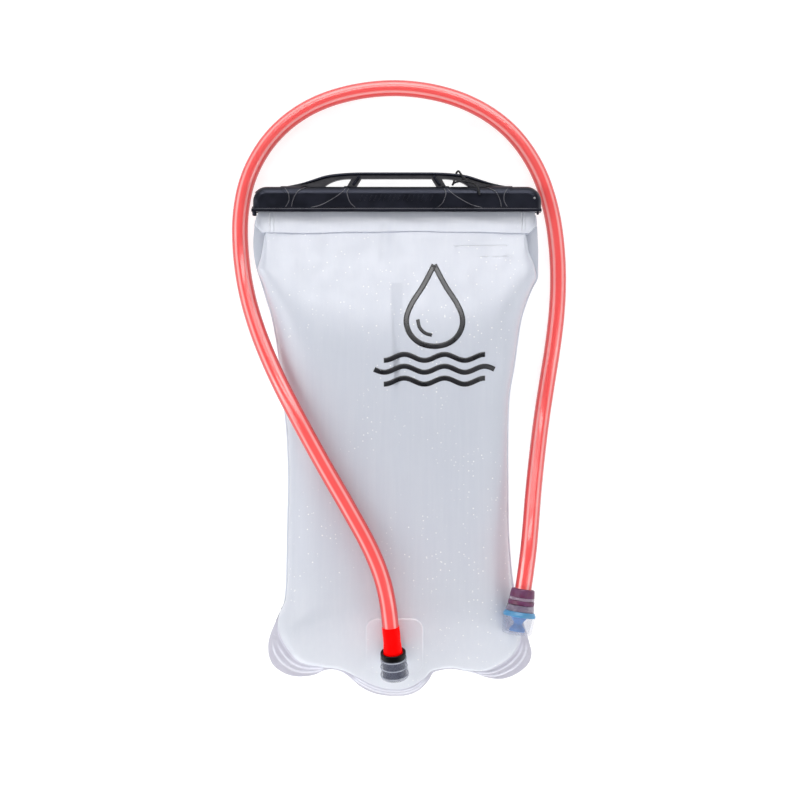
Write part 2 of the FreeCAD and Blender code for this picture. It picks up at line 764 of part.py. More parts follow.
def make_valve_body():
    """The purple body with its barb, two flanges and spigot, the clear band and the O-ring."""
    stem = new_body("valve_body")
    turned = turn(stem, [
        ("passage_radius", "-barb_length"), ("barb_tip", "-barb_length"),
        ("barb_ridge", "-barb_length * 0.6"), ("tube_bore", "-barb_length * 0.6"),
        ("tube_bore", "0"), ("cuff_top_radius", "0"), ("cuff_radius", "cuff_end"),
        ("band_bore", "cuff_end"), ("band_bore", "band_end"), ("ledge_radius", "band_end"),
        ("ledge_radius", "ledge_end"), ("spigot_radius", "ledge_end"),
        ("spigot_radius", "spigot_seat_top"), ("spigot_seat_radius", "spigot_seat_top"),
        ("spigot_seat_radius", "spigot_seat_end"), ("spigot_radius", "spigot_seat_end"),
        ("spigot_radius", "spigot_end"), ("passage_radius", "spigot_end"),
    ])
    top_radius = read("cuff_top_radius")
    round_edges(stem, turned, lambda edge: circle_at(edge, top_radius, 0), "cuff_rounding")
    stem.Placement = valve_frame()

    band = new_body("valve_band")
    turn(band, [
        ("band_bore", "cuff_end"), ("band_radius", "cuff_end"),
        ("band_radius", "band_end"), ("band_bore", "band_end"),
    ])
    band.Placement = valve_frame()

    seal = Part.makeTorus(read("stem_oring_ring"), read("stem_oring_wire"),
                          Vector(0, 0, read("(spigot_seat_top + spigot_seat_end) / 2")))
    new_feature("stem_oring", seal, valve_frame())


def make_valve_head():
    """The turning head: clear collar, blue ring, blue core and the clear bite sheath."""
    collar = new_body("twist_collar")
    turn(collar, [
        ("hub_bore", "hub_start"), ("hub_top_radius", "hub_start"),
        ("hub_end_radius", "hub_end"), ("hub_bore", "hub_end"),
    ])
    collar.Placement = valve_frame()

    ring = new_body("twist_ring")
    turn(ring, [
        ("hub_bore", "hub_end"), ("ring_top_radius", "hub_end"),
        ("ring_radius", "(hub_end + ring_end) / 2"), ("ring_radius", "ring_end"),
        ("hub_bore", "ring_end"),
    ])
    ring.Placement = valve_frame()

    core = new_body("valve_core")
    turn(core, [
        ("core_bore", "ring_end"), ("core_end_radius", "ring_end"),
        ("core_waist_radius", "core_waist"), ("core_end_radius", "core_end"),
        ("core_bore", "core_end"),
    ])
    core.Placement = valve_frame()

    sheath = new_body("bite_sheath")
    turned = turn(sheath, [
        ("sheath_radius - sheath_wall", "ring_end"), ("sheath_radius", "ring_end"),
        ("sheath_end_radius", "sheath_end"), ("0", "sheath_end"),
        ("0", "sheath_end - sheath_wall"),
        ("sheath_end_radius - sheath_wall", "sheath_end - sheath_wall"),
    ])
    end_radius = read("sheath_end_radius")
    end_height = read("sheath_end")
    round_edges(sheath, turned, lambda edge: circle_at(edge, end_radius, end_height),
                "sheath_rounding")
    below = "sheath_end - sheath_wall - slit_half"
    above = "sheath_end + slit_half"
    extend(sheath, "XZ_Plane", [
        ("-slit_reach", below), ("slit_reach", below), ("slit_reach", above),
        ("-slit_reach", above),
    ], "2 * slit_half", cut=True)
    sheath.Placement = valve_frame()


# ---------------------------------------------------------------- build and export

def state_faults():
    """The names of objects that failed to recompute or hold no valid shape."""
    faults = [item.Label for item in doc.Objects
              if "Invalid" in item.State or "Error" in item.State]
    for node in NODES:
        shape = node.Shape
        if shape.isNull() or not shape.isValid() or not shape.Solids:
            faults.append(node.Label)
    return faults


make_panels()
make_gussets()
make_mouth()
make_channel()
make_handle()
make_tether()
make_flange()
make_port_body()
make_socket_pieces()
make_plug()
make_tube()
make_valve_body()
make_valve_head()
doc.recompute()

problems = state_faults()
if problems:
    raise RuntimeError("failed or invalid: " + ", ".join(problems))

os.makedirs("parts", exist_ok=True)
for node in NODES:
    node.Shape.exportStep(f"parts/{node.Label}.step")
    box = node.Shape.BoundBox
    print(f"{node.Label}: {len(node.Shape.Solids)} solid, {node.Shape.Volume:.0f} mm3, "
          f"x {box.XMin:.1f} {box.XMax:.1f}, y {box.YMin:.1f} {box.YMax:.1f}, "
          f"z {box.ZMin:.1f} {box.ZMax:.1f}")
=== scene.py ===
import logging
import math
from dataclasses import dataclass
from enum import Enum
from typing import Callable, Iterable, Sequence

import bmesh
import bpy
import numpy as np
from mathutils import Matrix, Vector


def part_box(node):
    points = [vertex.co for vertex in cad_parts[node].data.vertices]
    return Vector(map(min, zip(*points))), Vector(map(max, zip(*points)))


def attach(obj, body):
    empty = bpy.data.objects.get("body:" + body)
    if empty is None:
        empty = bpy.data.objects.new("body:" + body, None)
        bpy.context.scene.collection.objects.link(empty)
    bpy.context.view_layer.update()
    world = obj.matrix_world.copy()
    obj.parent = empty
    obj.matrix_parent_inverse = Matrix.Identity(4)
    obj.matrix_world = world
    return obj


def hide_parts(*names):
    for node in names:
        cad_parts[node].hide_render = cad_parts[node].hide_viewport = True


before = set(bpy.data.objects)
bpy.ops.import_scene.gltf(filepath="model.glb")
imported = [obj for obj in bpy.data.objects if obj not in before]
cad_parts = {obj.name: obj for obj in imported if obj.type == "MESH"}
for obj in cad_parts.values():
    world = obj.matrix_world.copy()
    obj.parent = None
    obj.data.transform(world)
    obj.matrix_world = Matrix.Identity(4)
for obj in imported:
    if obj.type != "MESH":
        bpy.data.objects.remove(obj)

LOG = logging.getLogger("hydration_bladder")
MM = 0.001
Array = np.ndarray
Place = Callable[[Array, Array], Array]


class Body(Enum):
    """The rigid bodies that new pieces ride on."""

    BAG = "bag"
    CLOSURE = "closure"
    DRINK_LINE = "drink_line"
    VALVE_HEAD = "valve_head"


class Slot(Enum):
    """The record's material slots."""

    FILM = "film"
    FLANGE = "flange_film"
    CLOSURE = "closure_plastic"
    CORD = "cord_fabric"
    SMOKE = "smoke_plastic"
    BLACK = "black_plastic"
    TUBE = "tube_red"
    PURPLE = "purple_plastic"
    BLUE = "blue_plastic"
    CLEAR = "clear_silicone"


# ---------------------------------------------------------------- materials

def linear(code: str) -> tuple[float, float, float, float]:
    """Turn an sRGB hex colour to linear.

    Args:
        code: The colour as six hex digits, with or without a leading hash.

    Returns:
        Red, green, blue and an opacity of one.
    """
    code = code.lstrip("#")
    parts = [int(code[place:place + 2], 16) / 255 for place in (0, 2, 4)]
    turned = [part / 12.92 if part <= 0.04045 else ((part + 0.055) / 1.055) ** 2.4
              for part in parts]
    return (turned[0], turned[1], turned[2], 1.0)


def add_node(tree: bpy.types.NodeTree, kind: str, settings: dict | None = None,
             values: dict | None = None, links: dict | None = None) -> bpy.types.Node:
    """Add a shader node with its settings and links.

    Args:
        tree: The node tree that gets the node.
        kind: The node's type, without its ShaderNode prefix.
        settings: The node's own properties, by name.
        values: Values of input sockets, by name or number.
        links: Output sockets that feed input sockets, by name or number.

    Returns:
        The new node.
    """
    node = tree.nodes.new("ShaderNode" + kind)
    for name, value in (settings or {}).items():
        setattr(node, name, value)
    for name, value in (values or {}).items():
        node.inputs[name].default_value = value
    for name, socket in (links or {}).items():
        tree.links.new(socket, node.inputs[name])
    return node


def mixed(tree: bpy.types.NodeTree, share: bpy.types.NodeSocket, first: object,
          second: object) -> bpy.types.NodeSocket:
    """Mix two colours by a share.

    Args:
        tree: The node tree.
        share: The socket that gives the second colour's share.
        first: A linear colour or a socket.
        second: A linear colour or a socket.

    Returns:
        The socket of the mixed colour.
    """
    links = {0: share}
    values = {}
    for number, colour in ((6, first), (7, second)):
        if isinstance(colour, bpy.types.NodeSocket):
            links[number] = colour
        else:
            values[number] = colour
    node = add_node(tree, "Mix", {"data_type": "RGBA"}, values, links)
    return node.outputs[2]


def ranged(tree: bpy.types.NodeTree, socket: bpy.types.NodeSocket, low: float, high: float,
           to_low: float = 0.0, to_high: float = 1.0) -> bpy.types.NodeSocket:
    """Stretch a value smoothly from one range to another.

    Args:
        tree: The node tree.
        socket: The value.
        low: Where the range starts.
        high: Where the range ends.
        to_low: What the start becomes.
        to_high: What the end becomes.

    Returns:
        The socket of the stretched value.
    """
    node = add_node(tree, "MapRange", {"interpolation_type": "SMOOTHSTEP"},
                    {"From Min": low, "From Max": high, "To Min": to_low, "To Max": to_high},
                    {"Value": socket})
    return node.outputs["Result"]


def ramped(tree: bpy.types.NodeTree, value: bpy.types.NodeSocket,
           stops: Sequence[tuple[float, str]]) -> bpy.types.NodeSocket:
    """Turn a value into a colour that runs through given stops.

    Args:
        tree: The node tree.
        value: The value, 0 to 1.
        stops: Each stop's value and sRGB hex colour, lowest first.

    Returns:
        The colour's socket.
    """
    ramp = add_node(tree, "ValToRGB", links={"Fac": value})
    marks = ramp.color_ramp.elements
    while len(marks) < len(stops):
        marks.new(0.5)
    for mark, (place, code) in zip(marks, stops):
        mark.position = place
        mark.color = linear(code)
    return ramp.outputs["Color"]


@dataclass(frozen=True)
class Finish:
    """A moulded or extruded surface: a colour that wanders a little, and a fine grain."""

    name: str
    colour: str
    shade: str
    roughness: float
    ior: float = 1.5
    wander_mm: float = 9.0
    grain_mm: float = 0.4
    grain_depth_mm: float = 0.01
    alpha: float = 1.0
    subsurface: float = 0.0
    subsurface_mm: float = 1.0
    coat: float = 0.0
    metallic: float = 0.0
    glow: float = 0.0
    specular: float = 0.5
    gleam: str = "#ffffff"

    def material(self) -> bpy.types.Material:
        """Build the material, or return it if it is already there.

        Returns:
            The material.
        """
        ready = bpy.data.materials.get(self.name)
        if ready is not None:
            return ready
        material = bpy.data.materials.new(self.name)
        material.use_nodes = True
        tree = material.node_tree
        tree.nodes.clear()
        spot = add_node(tree, "TexCoord").outputs["Object"]
        wander = self.noise(tree, spot, self.wander_mm, 3.0)
        colour = mixed(tree, ranged(tree, wander, 0.3, 0.7), linear(self.colour),
                       linear(self.shade))
        colour = self.pattern(tree, spot, colour)
        gloss = ranged(tree, wander, 0.25, 0.75, self.roughness * 0.85, self.roughness * 1.15)
        bump = add_node(tree, "Bump", None, {"Strength": 1.0, "Distance": self.grain_depth_mm * MM},
                        {"Height": self.relief(tree, spot)})
        shader = add_node(tree, "BsdfPrincipled", {"subsurface_method": "RANDOM_WALK"}, {
            "IOR": self.ior, "Alpha": self.alpha, "Metallic": self.metallic,
            "Subsurface Weight": self.subsurface,
            "Subsurface Radius": (self.subsurface_mm * MM,) * 3, "Subsurface Scale": 1.0,
            "Coat Weight": self.coat, "Coat Roughness": 0.12,
            "Specular IOR Level": self.specular, "Specular Tint": linear(self.gleam),
        }, {"Base Color": colour, "Roughness": gloss, "Normal": bump.outputs["Normal"]})
        # Emitted glow: painted light on the tube's pieces; on the floor it keeps the floor evenly
        # white.
        if self.glow:
            shader.inputs["Emission Strength"].default_value = self.glow
            tree.links.new(colour, shader.inputs["Emission Color"])
        add_node(tree, "OutputMaterial", links={"Surface": shader.outputs["BSDF"]})
        return material

    def noise(self, tree: bpy.types.NodeTree, spot: bpy.types.NodeSocket, size_mm: float,
              detail: float = 2.0) -> bpy.types.NodeSocket:
        """Noise whose features have a size in millimetres.

        Args:
            tree: The node tree.
            spot: The coordinates, in metres.
            size_mm: The features' size.
            detail: How many finer layers it has.

        Returns:
            The socket of the noise, from 0 to 1.
        """
        node = add_node(tree, "TexNoise", None, {"Scale": 1000 / size_mm, "Detail": detail},
                        {"Vector": spot})
        return node.outputs["Fac"]

    def pattern(self, tree: bpy.types.NodeTree, spot: bpy.types.NodeSocket,
                colour: bpy.types.NodeSocket) -> bpy.types.NodeSocket:
        """The plain finish has no pattern of its own."""
        return colour

    def relief(self, tree: bpy.types.NodeTree,
               spot: bpy.types.NodeSocket) -> bpy.types.NodeSocket:
        """The fine grain of the mould."""
        return self.noise(tree, spot, self.grain_mm)


@dataclass(frozen=True)
class FilmFinish(Finish):
    """Milky TPU film: droplets stuck to its inside, streaks along the extrusion, and painted shade
    in soft zones along the bag.
    """

    # Painted shade: places along the bag in millimetres and their colours, lowest first.
    painted_shade_bands: tuple[tuple[float, str], ...] = ()
    foot_mm: float = -170.0
    head_mm: float = 160.0
    speck_cell_mm: float = 2.9
    specks: float = 0.75

    def pattern(self, tree: bpy.types.NodeTree, spot: bpy.types.NodeSocket,
                colour: bpy.types.NodeSocket) -> bpy.types.NodeSocket:
        """Paint shade in soft zones along the bag, streak the film and scatter light droplets.

        Args:
            tree: The node tree.
            spot: The coordinates, in metres.
            colour: The plain colour.

        Returns:
            The socket of the patterned colour.
        """
        parts = add_node(tree, "SeparateXYZ", links={"Vector": spot})
        # Painted shade: the colour along the bag is mixed over most of the film.
        along = add_node(tree, "MapRange", None, {
            "From Min": self.foot_mm * MM, "From Max": self.head_mm * MM},
            {"Value": parts.outputs["Y"]})
        painted_light_tint = ramped(tree, along.outputs["Result"],
                      [((place - self.foot_mm) / (self.head_mm - self.foot_mm), code)
                       for place, code in self.painted_shade_bands])
        colour = mixed(tree, ranged(tree, self.noise(tree, spot, 30.0), 0.2, 0.8, 0.8, 1.0),
                       colour, painted_light_tint)
        stretched = add_node(tree, "Mapping", None, {"Scale": (1.0, 0.05, 1.0)},
                             {"Vector": spot})
        streak = self.noise(tree, stretched.outputs["Vector"], 2.4, 4.0)
        colour = mixed(tree, ranged(tree, streak, 0.35, 0.75, 0.0, 0.05), colour,
                       linear("#ffffff"))
        cells = add_node(tree, "TexVoronoi", {"voronoi_dimensions": "3D"},
                         {"Scale": 1000 / self.speck_cell_mm}, {"Vector": spot})
        near = ranged(tree, cells.outputs["Distance"], 0.2, 0.12)
        pick = add_node(tree, "SeparateColor", links={"Color": cells.outputs["Color"]})
        some = ranged(tree, pick.outputs["Red"], 0.45, 0.55)
        both = add_node(tree, "Math", {"operation": "MULTIPLY"}, links={0: near, 1: some})
        clump = ranged(tree, self.noise(tree, spot, 60.0), 0.42, 0.6, 0.0, self.specks)
        mask = add_node(tree, "Math", {"operation": "MULTIPLY"},
                        links={0: both.outputs[0], 1: clump})
        return mixed(tree, mask.outputs[0], colour, linear("#ffffff"))


@dataclass(frozen=True)
class WeldFinish(Finish):
    """Two films welded together, clearer where the weld's ridges stand."""

    ridge: str = "#e9e9f3"

    def pattern(self, tree: bpy.types.NodeTree, spot: bpy.types.NodeSocket,
                colour: bpy.types.NodeSocket) -> bpy.types.NodeSocket:
        """Lighten the ridges that the mesh's weld attribute marks."""
        weld = add_node(tree, "Attribute", {"attribute_name": "weld"})
        return mixed(tree, weld.outputs["Fac"], colour, linear(self.ridge))


@dataclass(frozen=True)
class PatchFinish(FilmFinish):
    """Film with a moulded patch welded on, clearer along the patch's rim."""

    ridge: str = "#eef0f8"

    def pattern(self, tree: bpy.types.NodeTree, spot: bpy.types.NodeSocket,
                colour: bpy.types.NodeSocket) -> bpy.types.NodeSocket:
        """The film's own pattern, lightened where the weld attribute says.

        Args:
            tree: The node tree.
            spot: The coordinates.
            colour: The plain colour.

        Returns:
            The patterned colour.
        """
        colour = super().pattern(tree, spot, colour)
        weld = add_node(tree, "Attribute", {"attribute_name": "weld"})
        return mixed(tree, weld.outputs["Fac"], colour, linear(self.ridge))


@dataclass(frozen=True)
class TubeFinish(Finish):
    """See-through tube wall, with painted highlight lines fixed round it and painted darker red
    beside them.
    """

    top: float = 0.2
    # Painted light: colours by degrees round from the top, the pale ones painted highlights, the
    # deep reds painted shade.
    lines: tuple = ((0, "#fb5655"), (17, "#fb5655"), (29, "#ffaeac"), (35, "#ffaeac"),
                    (46, "#ea3b3a"), (66, "#cc2423"), (95, "#dc3231"), (180, "#ea4644"))

    def pattern(self, tree: bpy.types.NodeTree, spot: bpy.types.NodeSocket,
                colour: bpy.types.NodeSocket) -> bpy.types.NodeSocket:
        """Paint highlight lines and darker red by how far round from its top each spot is.

        Args:
            tree: The node tree.
            spot: The coordinates, which the lines don't use.
            colour: The plain colour, mixed in a little.

        Returns:
            The socket of the lined colour.
        """
        around = add_node(tree, "TexCoord").outputs["UV"]
        girth = add_node(tree, "SeparateXYZ", links={"Vector": around}).outputs["Y"]
        past = add_node(tree, "Math", {"operation": "SUBTRACT"}, {1: self.top}, {0: girth})
        away = add_node(tree, "Math", {"operation": "PINGPONG"}, {1: 0.5}, {0: past.outputs[0]})
        share = add_node(tree, "Math", {"operation": "MULTIPLY"}, {1: 2.0},
                         {0: away.outputs[0]})
        # Painted light: highlight lines and darker red, fixed round the tube by its UV.
        painted_light_tint = ramped(tree, share.outputs[0], [(turn / 180, code) for turn, code in self.lines])
        return mixed(tree, ranged(tree, self.noise(tree, spot, 25.0), 0.3, 0.7, 0.9, 1.0),
                     colour, painted_light_tint)


@dataclass(frozen=True)
class BraidFinish(Finish):
    """Braided cord: strands that cross at a slant."""

    strand_turns: float = 26.0

    def relief(self, tree: bpy.types.NodeTree,
               spot: bpy.types.NodeSocket) -> bpy.types.NodeSocket:
        """Two sets of slanting strands, over the cord's own length and girth.

        Args:
            tree: The node tree.
            spot: The coordinates, which the strands don't use.

        Returns:
            The socket of the strands' height.
        """
        around = add_node(tree, "TexCoord").outputs["UV"]
        heights = []
        for lean in (1.0, -1.0):
            turned = add_node(tree, "Mapping", None, {
                "Scale": (self.strand_turns, 4.0, 1.0), "Rotation": (0.0, 0.0, 0.6 * lean),
            }, {"Vector": around})
            wave = add_node(tree, "TexWave", None, {"Scale": 0.5},
                            {"Vector": turned.outputs["Vector"]})
            heights.append(wave.outputs["Fac"])
        top = add_node(tree, "Math", {"operation": "MAXIMUM"},
                       links={0: heights[0], 1: heights[1]})
        return top.outputs[0]


# Painted shade along the bag: places in millimetres and colours, darkest in the middle, lightest at
# the lobes.
FILM_PAINTED_SHADE_BANDS = ((-166, "#eceff7"), (-146, "#e2e6ef"), (-118, "#d5d9e3"), (-70, "#cfd3df"),
              (0, "#cbd0dc"), (60, "#cdd2de"), (110, "#d6dae6"), (126, "#d3d7e3"))


class Finishes:
    """The object's finishes, each named for the real one, some also for the light painted into
    them.
    """

    # Milky thermoplastic film: satin, pale blue-grey, light scatters in it; its colour along the
    # bag is painted shade.
    FILM = FilmFinish("milky_tpu_film", "#cdd2de", "#c6cbd8", 0.36, grain_mm=1.6,
                      grain_depth_mm=0.02, subsurface=0.25, subsurface_mm=3.0,
                      painted_shade_bands=FILM_PAINTED_SHADE_BANDS)
    # The same film folded over at the mouth, with painted shade that darkens it where it goes in
    # under the closure.
    MOUTH = FilmFinish("folded_tpu_film", "#cfd3df", "#c8ccd9", 0.36, grain_mm=1.4,
                       grain_depth_mm=0.03, subsurface=0.2, subsurface_mm=3.0, specks=0.2,
                       painted_shade_bands=((120, "#dadeea"), (129, "#d8dce8"), (137.5, "#d6dae6"),
                              (140.4, "#ccd0dc"), (142.3, "#b4b8c4")))
    # Film inside the fold at the sides, its colour painted shade: pale down the sides, greyer in
    # the pockets by the mouth.
    GUSSET = FilmFinish("gusset_tpu_film", "#aeb3bd", "#a4a9b3", 0.4, grain_mm=1.4,
                        grain_depth_mm=0.02, subsurface=0.2, subsurface_mm=3.0, specks=0.1,
                        painted_shade_bands=((-113, "#e2e6f0"), (84, "#e2e6f0"), (96, "#c4c9d3"),
                               (135, "#b9bec8")))
    # Welded film: flat, greyer and a little warm, with clear ridges.
    WELD = WeldFinish("welded_tpu_film", "#c8c6d0", "#c3c1cc", 0.3, grain_mm=1.0,
                      grain_depth_mm=0.02, subsurface=0.3, subsurface_mm=2.0)
    # The outlet's weld patch: the bag's colour and painted shade, with a light rim.
    PATCH = PatchFinish("moulded_tpu_patch", "#cdd2de", "#c6cbd8", 0.36, grain_mm=1.6,
                        grain_depth_mm=0.02, subsurface=0.25, subsurface_mm=3.0,
                        painted_shade_bands=FILM_PAINTED_SHADE_BANDS)
    # Screen-printed ink: near-black, a little glossier than the film.
    INK = Finish("printed_ink", "#17171b", "#202025", 0.3, grain_mm=0.5, grain_depth_mm=0.004)
    # Moulded polypropylene: satin black, cool, with a fine spark-eroded grain.
    CLOSURE = Finish("moulded_black_polypropylene", "#07080e", "#0b0c14", 0.36, ior=1.49,
                     grain_mm=0.35, grain_depth_mm=0.012, specular=0.36, gleam="#dce2ff")
    # Painted highlight: a lighter copy of the same moulding's black, for its lit undersides and
    # edges.
    EDGE_HIGHLIGHT = Finish("black_polypropylene_painted_highlight", "#4b4b51", "#57575d", 0.3, ior=1.49,
                  grain_mm=0.4, grain_depth_mm=0.006)
    # Painted light: the arch's flat faces get a lighter copy of the bar's black, a little less
    # glossy.
    ARCH = Finish("satin_black_polypropylene_painted_light", "#222128", "#2a292f", 0.45, ior=1.49,
                  grain_mm=0.35, grain_depth_mm=0.012)
    # Extruded polypropylene rail: pale and smooth.
    RAIL = Finish("extruded_polypropylene", "#d0d4da", "#c6cad1", 0.35, ior=1.49)
    # Braided nylon cord: black, dull, with slanting strands.
    CORD = BraidFinish("braided_nylon_cord", "#0d0d10", "#1b1b20", 0.7, grain_depth_mm=0.25)
    # Clear-red drink tube: saturated and glossy, with a faint painted glow and painted light lines
    # round it.
    TUBE = TubeFinish("extruded_red_tpu_tube", "#ee3c3a", "#e93634", 0.32, ior=1.5,
                      wander_mm=30, grain_mm=2.0, grain_depth_mm=0.01, coat=0.6, glow=0.06,
                      alpha=0.92)
    # The bore seen through the wall: more saturated, with a painted glow.
    BORE = Finish("tube_bore_red", "#ff1210", "#f60f0d", 0.4, ior=1.4, wander_mm=30,
                  grain_mm=2.0, grain_depth_mm=0.01, glow=0.15)
    # The tube's end stretched over the barb: denser red, with a painted glow.
    TUBE_END = Finish("stretched_red_tpu_tube", "#ff0000", "#f60000", 0.5, ior=1.35,
                      wander_mm=12, grain_mm=2.0, grain_depth_mm=0.01, glow=0.25,
                      specular=0.1)
    # Glossy black ABS collar.
    COLLAR = Finish("glossy_black_abs", "#030304", "#060607", 0.3, ior=1.53, grain_mm=0.6,
                    grain_depth_mm=0.003, specular=0.2)
    # Smoke-tinted copolyester: see-through at its walls, dark in the middle.
    SMOKE = Finish("smoke_copolyester", "#8d92a1", "#7a7f8f", 0.18, ior=1.57, grain_mm=0.7,
                   grain_depth_mm=0.01, alpha=0.3)
    # Painted highlight: the socket's ribs are a lighter copy of the smoke copolyester, light lines
    # on the smoke.
    RIB = Finish("copolyester_rib_painted_highlight", "#c9cdd8", "#a9aebc", 0.15, ior=1.57, grain_mm=0.7,
                 wander_mm=3.0, grain_depth_mm=0.01, alpha=0.7)
    # The inside of the smoke socket: dark blue-grey, seen through its wall.
    SLEEVE = Finish("smoke_inner_sleeve", "#2b2e3f", "#46495c", 0.35, ior=1.57, wander_mm=1.2,
                    grain_mm=0.6, grain_depth_mm=0.05)
    # Purple thermoplastic elastomer: soft satin, darker towards the middle.
    PURPLE = Finish("purple_elastomer", "#622349", "#66305c", 0.42, ior=1.5, wander_mm=4,
                    grain_mm=0.5, grain_depth_mm=0.02, subsurface=0.2, subsurface_mm=1.0)
    # Clear moulded silicone: cool, see-through, a little cloudy.
    CLEAR = Finish("moulded_clear_silicone", "#b6c0d4", "#c0bccb", 0.28, ior=1.41, wander_mm=5,
                   grain_mm=0.8, grain_depth_mm=0.02, alpha=0.18)
    # Thicker silicone over a purple core: grey-lilac, only half see-through.
    HAZE = Finish("hazy_silicone", "#84778f", "#94869a", 0.28, ior=1.41, wander_mm=3,
                  grain_mm=0.8, grain_depth_mm=0.02, alpha=0.68)
    # Cloudy silicone let in between purple flanges: a light lilac line.
    BAND = Finish("cloudy_silicone", "#a189a0", "#b39db1", 0.28, ior=1.41, wander_mm=4,
                  grain_mm=0.8, grain_depth_mm=0.02, alpha=0.6)
    # Sky-blue elastomer ring: soft satin.
    BLUE = Finish("blue_elastomer", "#4795c6", "#578fb8", 0.36, ior=1.5, wander_mm=5,
                  grain_mm=0.5, grain_depth_mm=0.02, subsurface=0.2, subsurface_mm=1.0)
    # Blue elastomer core: deep enough to show through the clear sheath.
    CORE = Finish("deep_blue_elastomer", "#0080d2", "#1078bc", 0.45, ior=1.5, wander_mm=4,
                  grain_mm=0.5, grain_depth_mm=0.02)
    # Drawn stainless wire: bright grey metal with fine drawing lines.
    STEEL = Finish("drawn_stainless_wire", "#b9b9bb", "#a9a9ac", 0.28, metallic=1.0,
                   grain_mm=0.15, grain_depth_mm=0.004)
    # Nitrile seal: dull dark rubber.
    SEAL = Finish("nitrile_rubber", "#141415", "#1c1c1d", 0.6, ior=1.52, grain_mm=0.3)
    # White acetal poppet: smooth, a little waxy.
    POPPET = Finish("white_acetal", "#e6e6e2", "#dcdcd8", 0.35, ior=1.48, subsurface=0.1)
    # Matt painted floor: white in the studio's light, with soft shadows.
    FLOOR = Finish("matt_white_floor", "#a9a9a9", "#acacac", 0.9, ior=1.2, grain_depth_mm=0.0,
                   glow=1.9)


# ---------------------------------------------------------------- mesh helpers

def smooth_line(points: Sequence[Sequence[float]], steps: int = 6) -> Array:
    """A smooth line through points.

    Args:
        points: The points, in millimetres.
        steps: How many steps each span gets.

    Returns:
        The line's points, one a row.
    """
    spots = np.array(points, float)
    padded = np.vstack([2 * spots[0] - spots[1], spots, 2 * spots[-1] - spots[-2]])
    share = np.linspace(0, 1, steps, endpoint=False)[:, None]
    spans = []
    for before, start, finish, after in zip(padded, padded[1:], padded[2:], padded[3:]):
        spans.append(0.5 * (2 * start + (finish - before) * share
                            + (2 * before - 5 * start + 4 * finish - after) * share ** 2
                            + (3 * start - before - 3 * finish + after) * share ** 3))
    return np.vstack(spans + [spots[-1:]])


def at_share(line: Array, share: Array) -> Array:
    """Points of a line at shares of its length.

    Args:
        line: The line's points, one a row.
        share: Where to look, from 0 to 1.

    Returns:
        One point a row.
    """
    along = np.concatenate([[0], np.cumsum(np.linalg.norm(np.diff(line, axis=0), axis=1))])
    along /= along[-1]
    return np.stack([np.interp(share, along, line[:, axis]) for axis in range(line.shape[1])],
                    axis=1)


def smooth_step(value: Array, low: float, high: float) -> Array:
    """Go smoothly from 0 at low to 1 at high."""
    share = np.clip((value - low) / (high - low), 0, 1)
    return share * share * (3 - 2 * share)


def distance_to(line: Array, across: Array, along: Array) -> Array:
    """How far plan points are from a line.

    Args:
        line: The line's plan points, one a row.
        across: The points' X.
        along: The points' Y.

    Returns:
        The distances.
    """
    best = np.full(len(across), 1e9)
    for start, finish in zip(line, line[1:]):
        run = finish - start
        length = float(run @ run)
        if length < 1e-12:
            continue
        share = ((across - start[0]) * run[0] + (along - start[1]) * run[1]) / length
        share = np.clip(share, 0, 1)
        gap = np.hypot(across - start[0] - share * run[0], along - start[1] - share * run[1])
        best = np.minimum(best, gap)
    return best


def add_sheet(mesh: bmesh.types.BMesh, columns: int, rows: int, place: Place) -> list:
    """Add a grid and move its points onto a surface.

    Args:
        mesh: The mesh that gets the sheet.
        columns: Faces across the grid.
        rows: Faces along the grid.
        place: Gives points in millimetres for grid coordinates from -1 to 1.

    Returns:
        The sheet's vertices.
    """
    made = bmesh.ops.create_grid(mesh, x_segments=columns, y_segments=rows, size=1.0)["verts"]
    spots = np.array([vert.co[:2] for vert in made])
    for vert, spot in zip(made, place(spots[:, 0], spots[:, 1])):
        vert.co = Vector(spot) * MM
    return made


def add_round(mesh: bmesh.types.BMesh, path: Array, radius: float, steps: int,
              sides: int = 10) -> None:
    """Add a round bead along a path on a surface.

    Args:
        mesh: The mesh that gets the bead.
        path: The bead's middle, in millimetres, one point a row.
        radius: The bead's radius.
        steps: Faces along the bead.
        sides: Faces round the bead.
    """
    def place(along: Array, round_about: Array) -> Array:
        """Points round the path, drawn in at its two ends."""
        share = (along + 1) / 2
        middle = at_share(path, share)
        ahead = at_share(path, np.clip(share + 0.01, 0, 1)) - at_share(
            path, np.clip(share - 0.01, 0, 1))
        ahead /= np.linalg.norm(ahead, axis=1)[:, None]
        side = np.cross(ahead, np.array([0.0, 0.0, 1.0]))
        side /= np.linalg.norm(side, axis=1)[:, None]
        over = np.cross(side, ahead)
        size = radius * np.sqrt(np.clip(1 - np.abs(along) ** 12, 0.0004, 1))[:, None]
        angle = (round_about * math.pi)[:, None]
        return middle + size * (side * np.cos(angle) + over * np.sin(angle))

    made = add_sheet(mesh, steps, sides, place)
    bmesh.ops.remove_doubles(mesh, verts=made, dist=0.03 * MM)


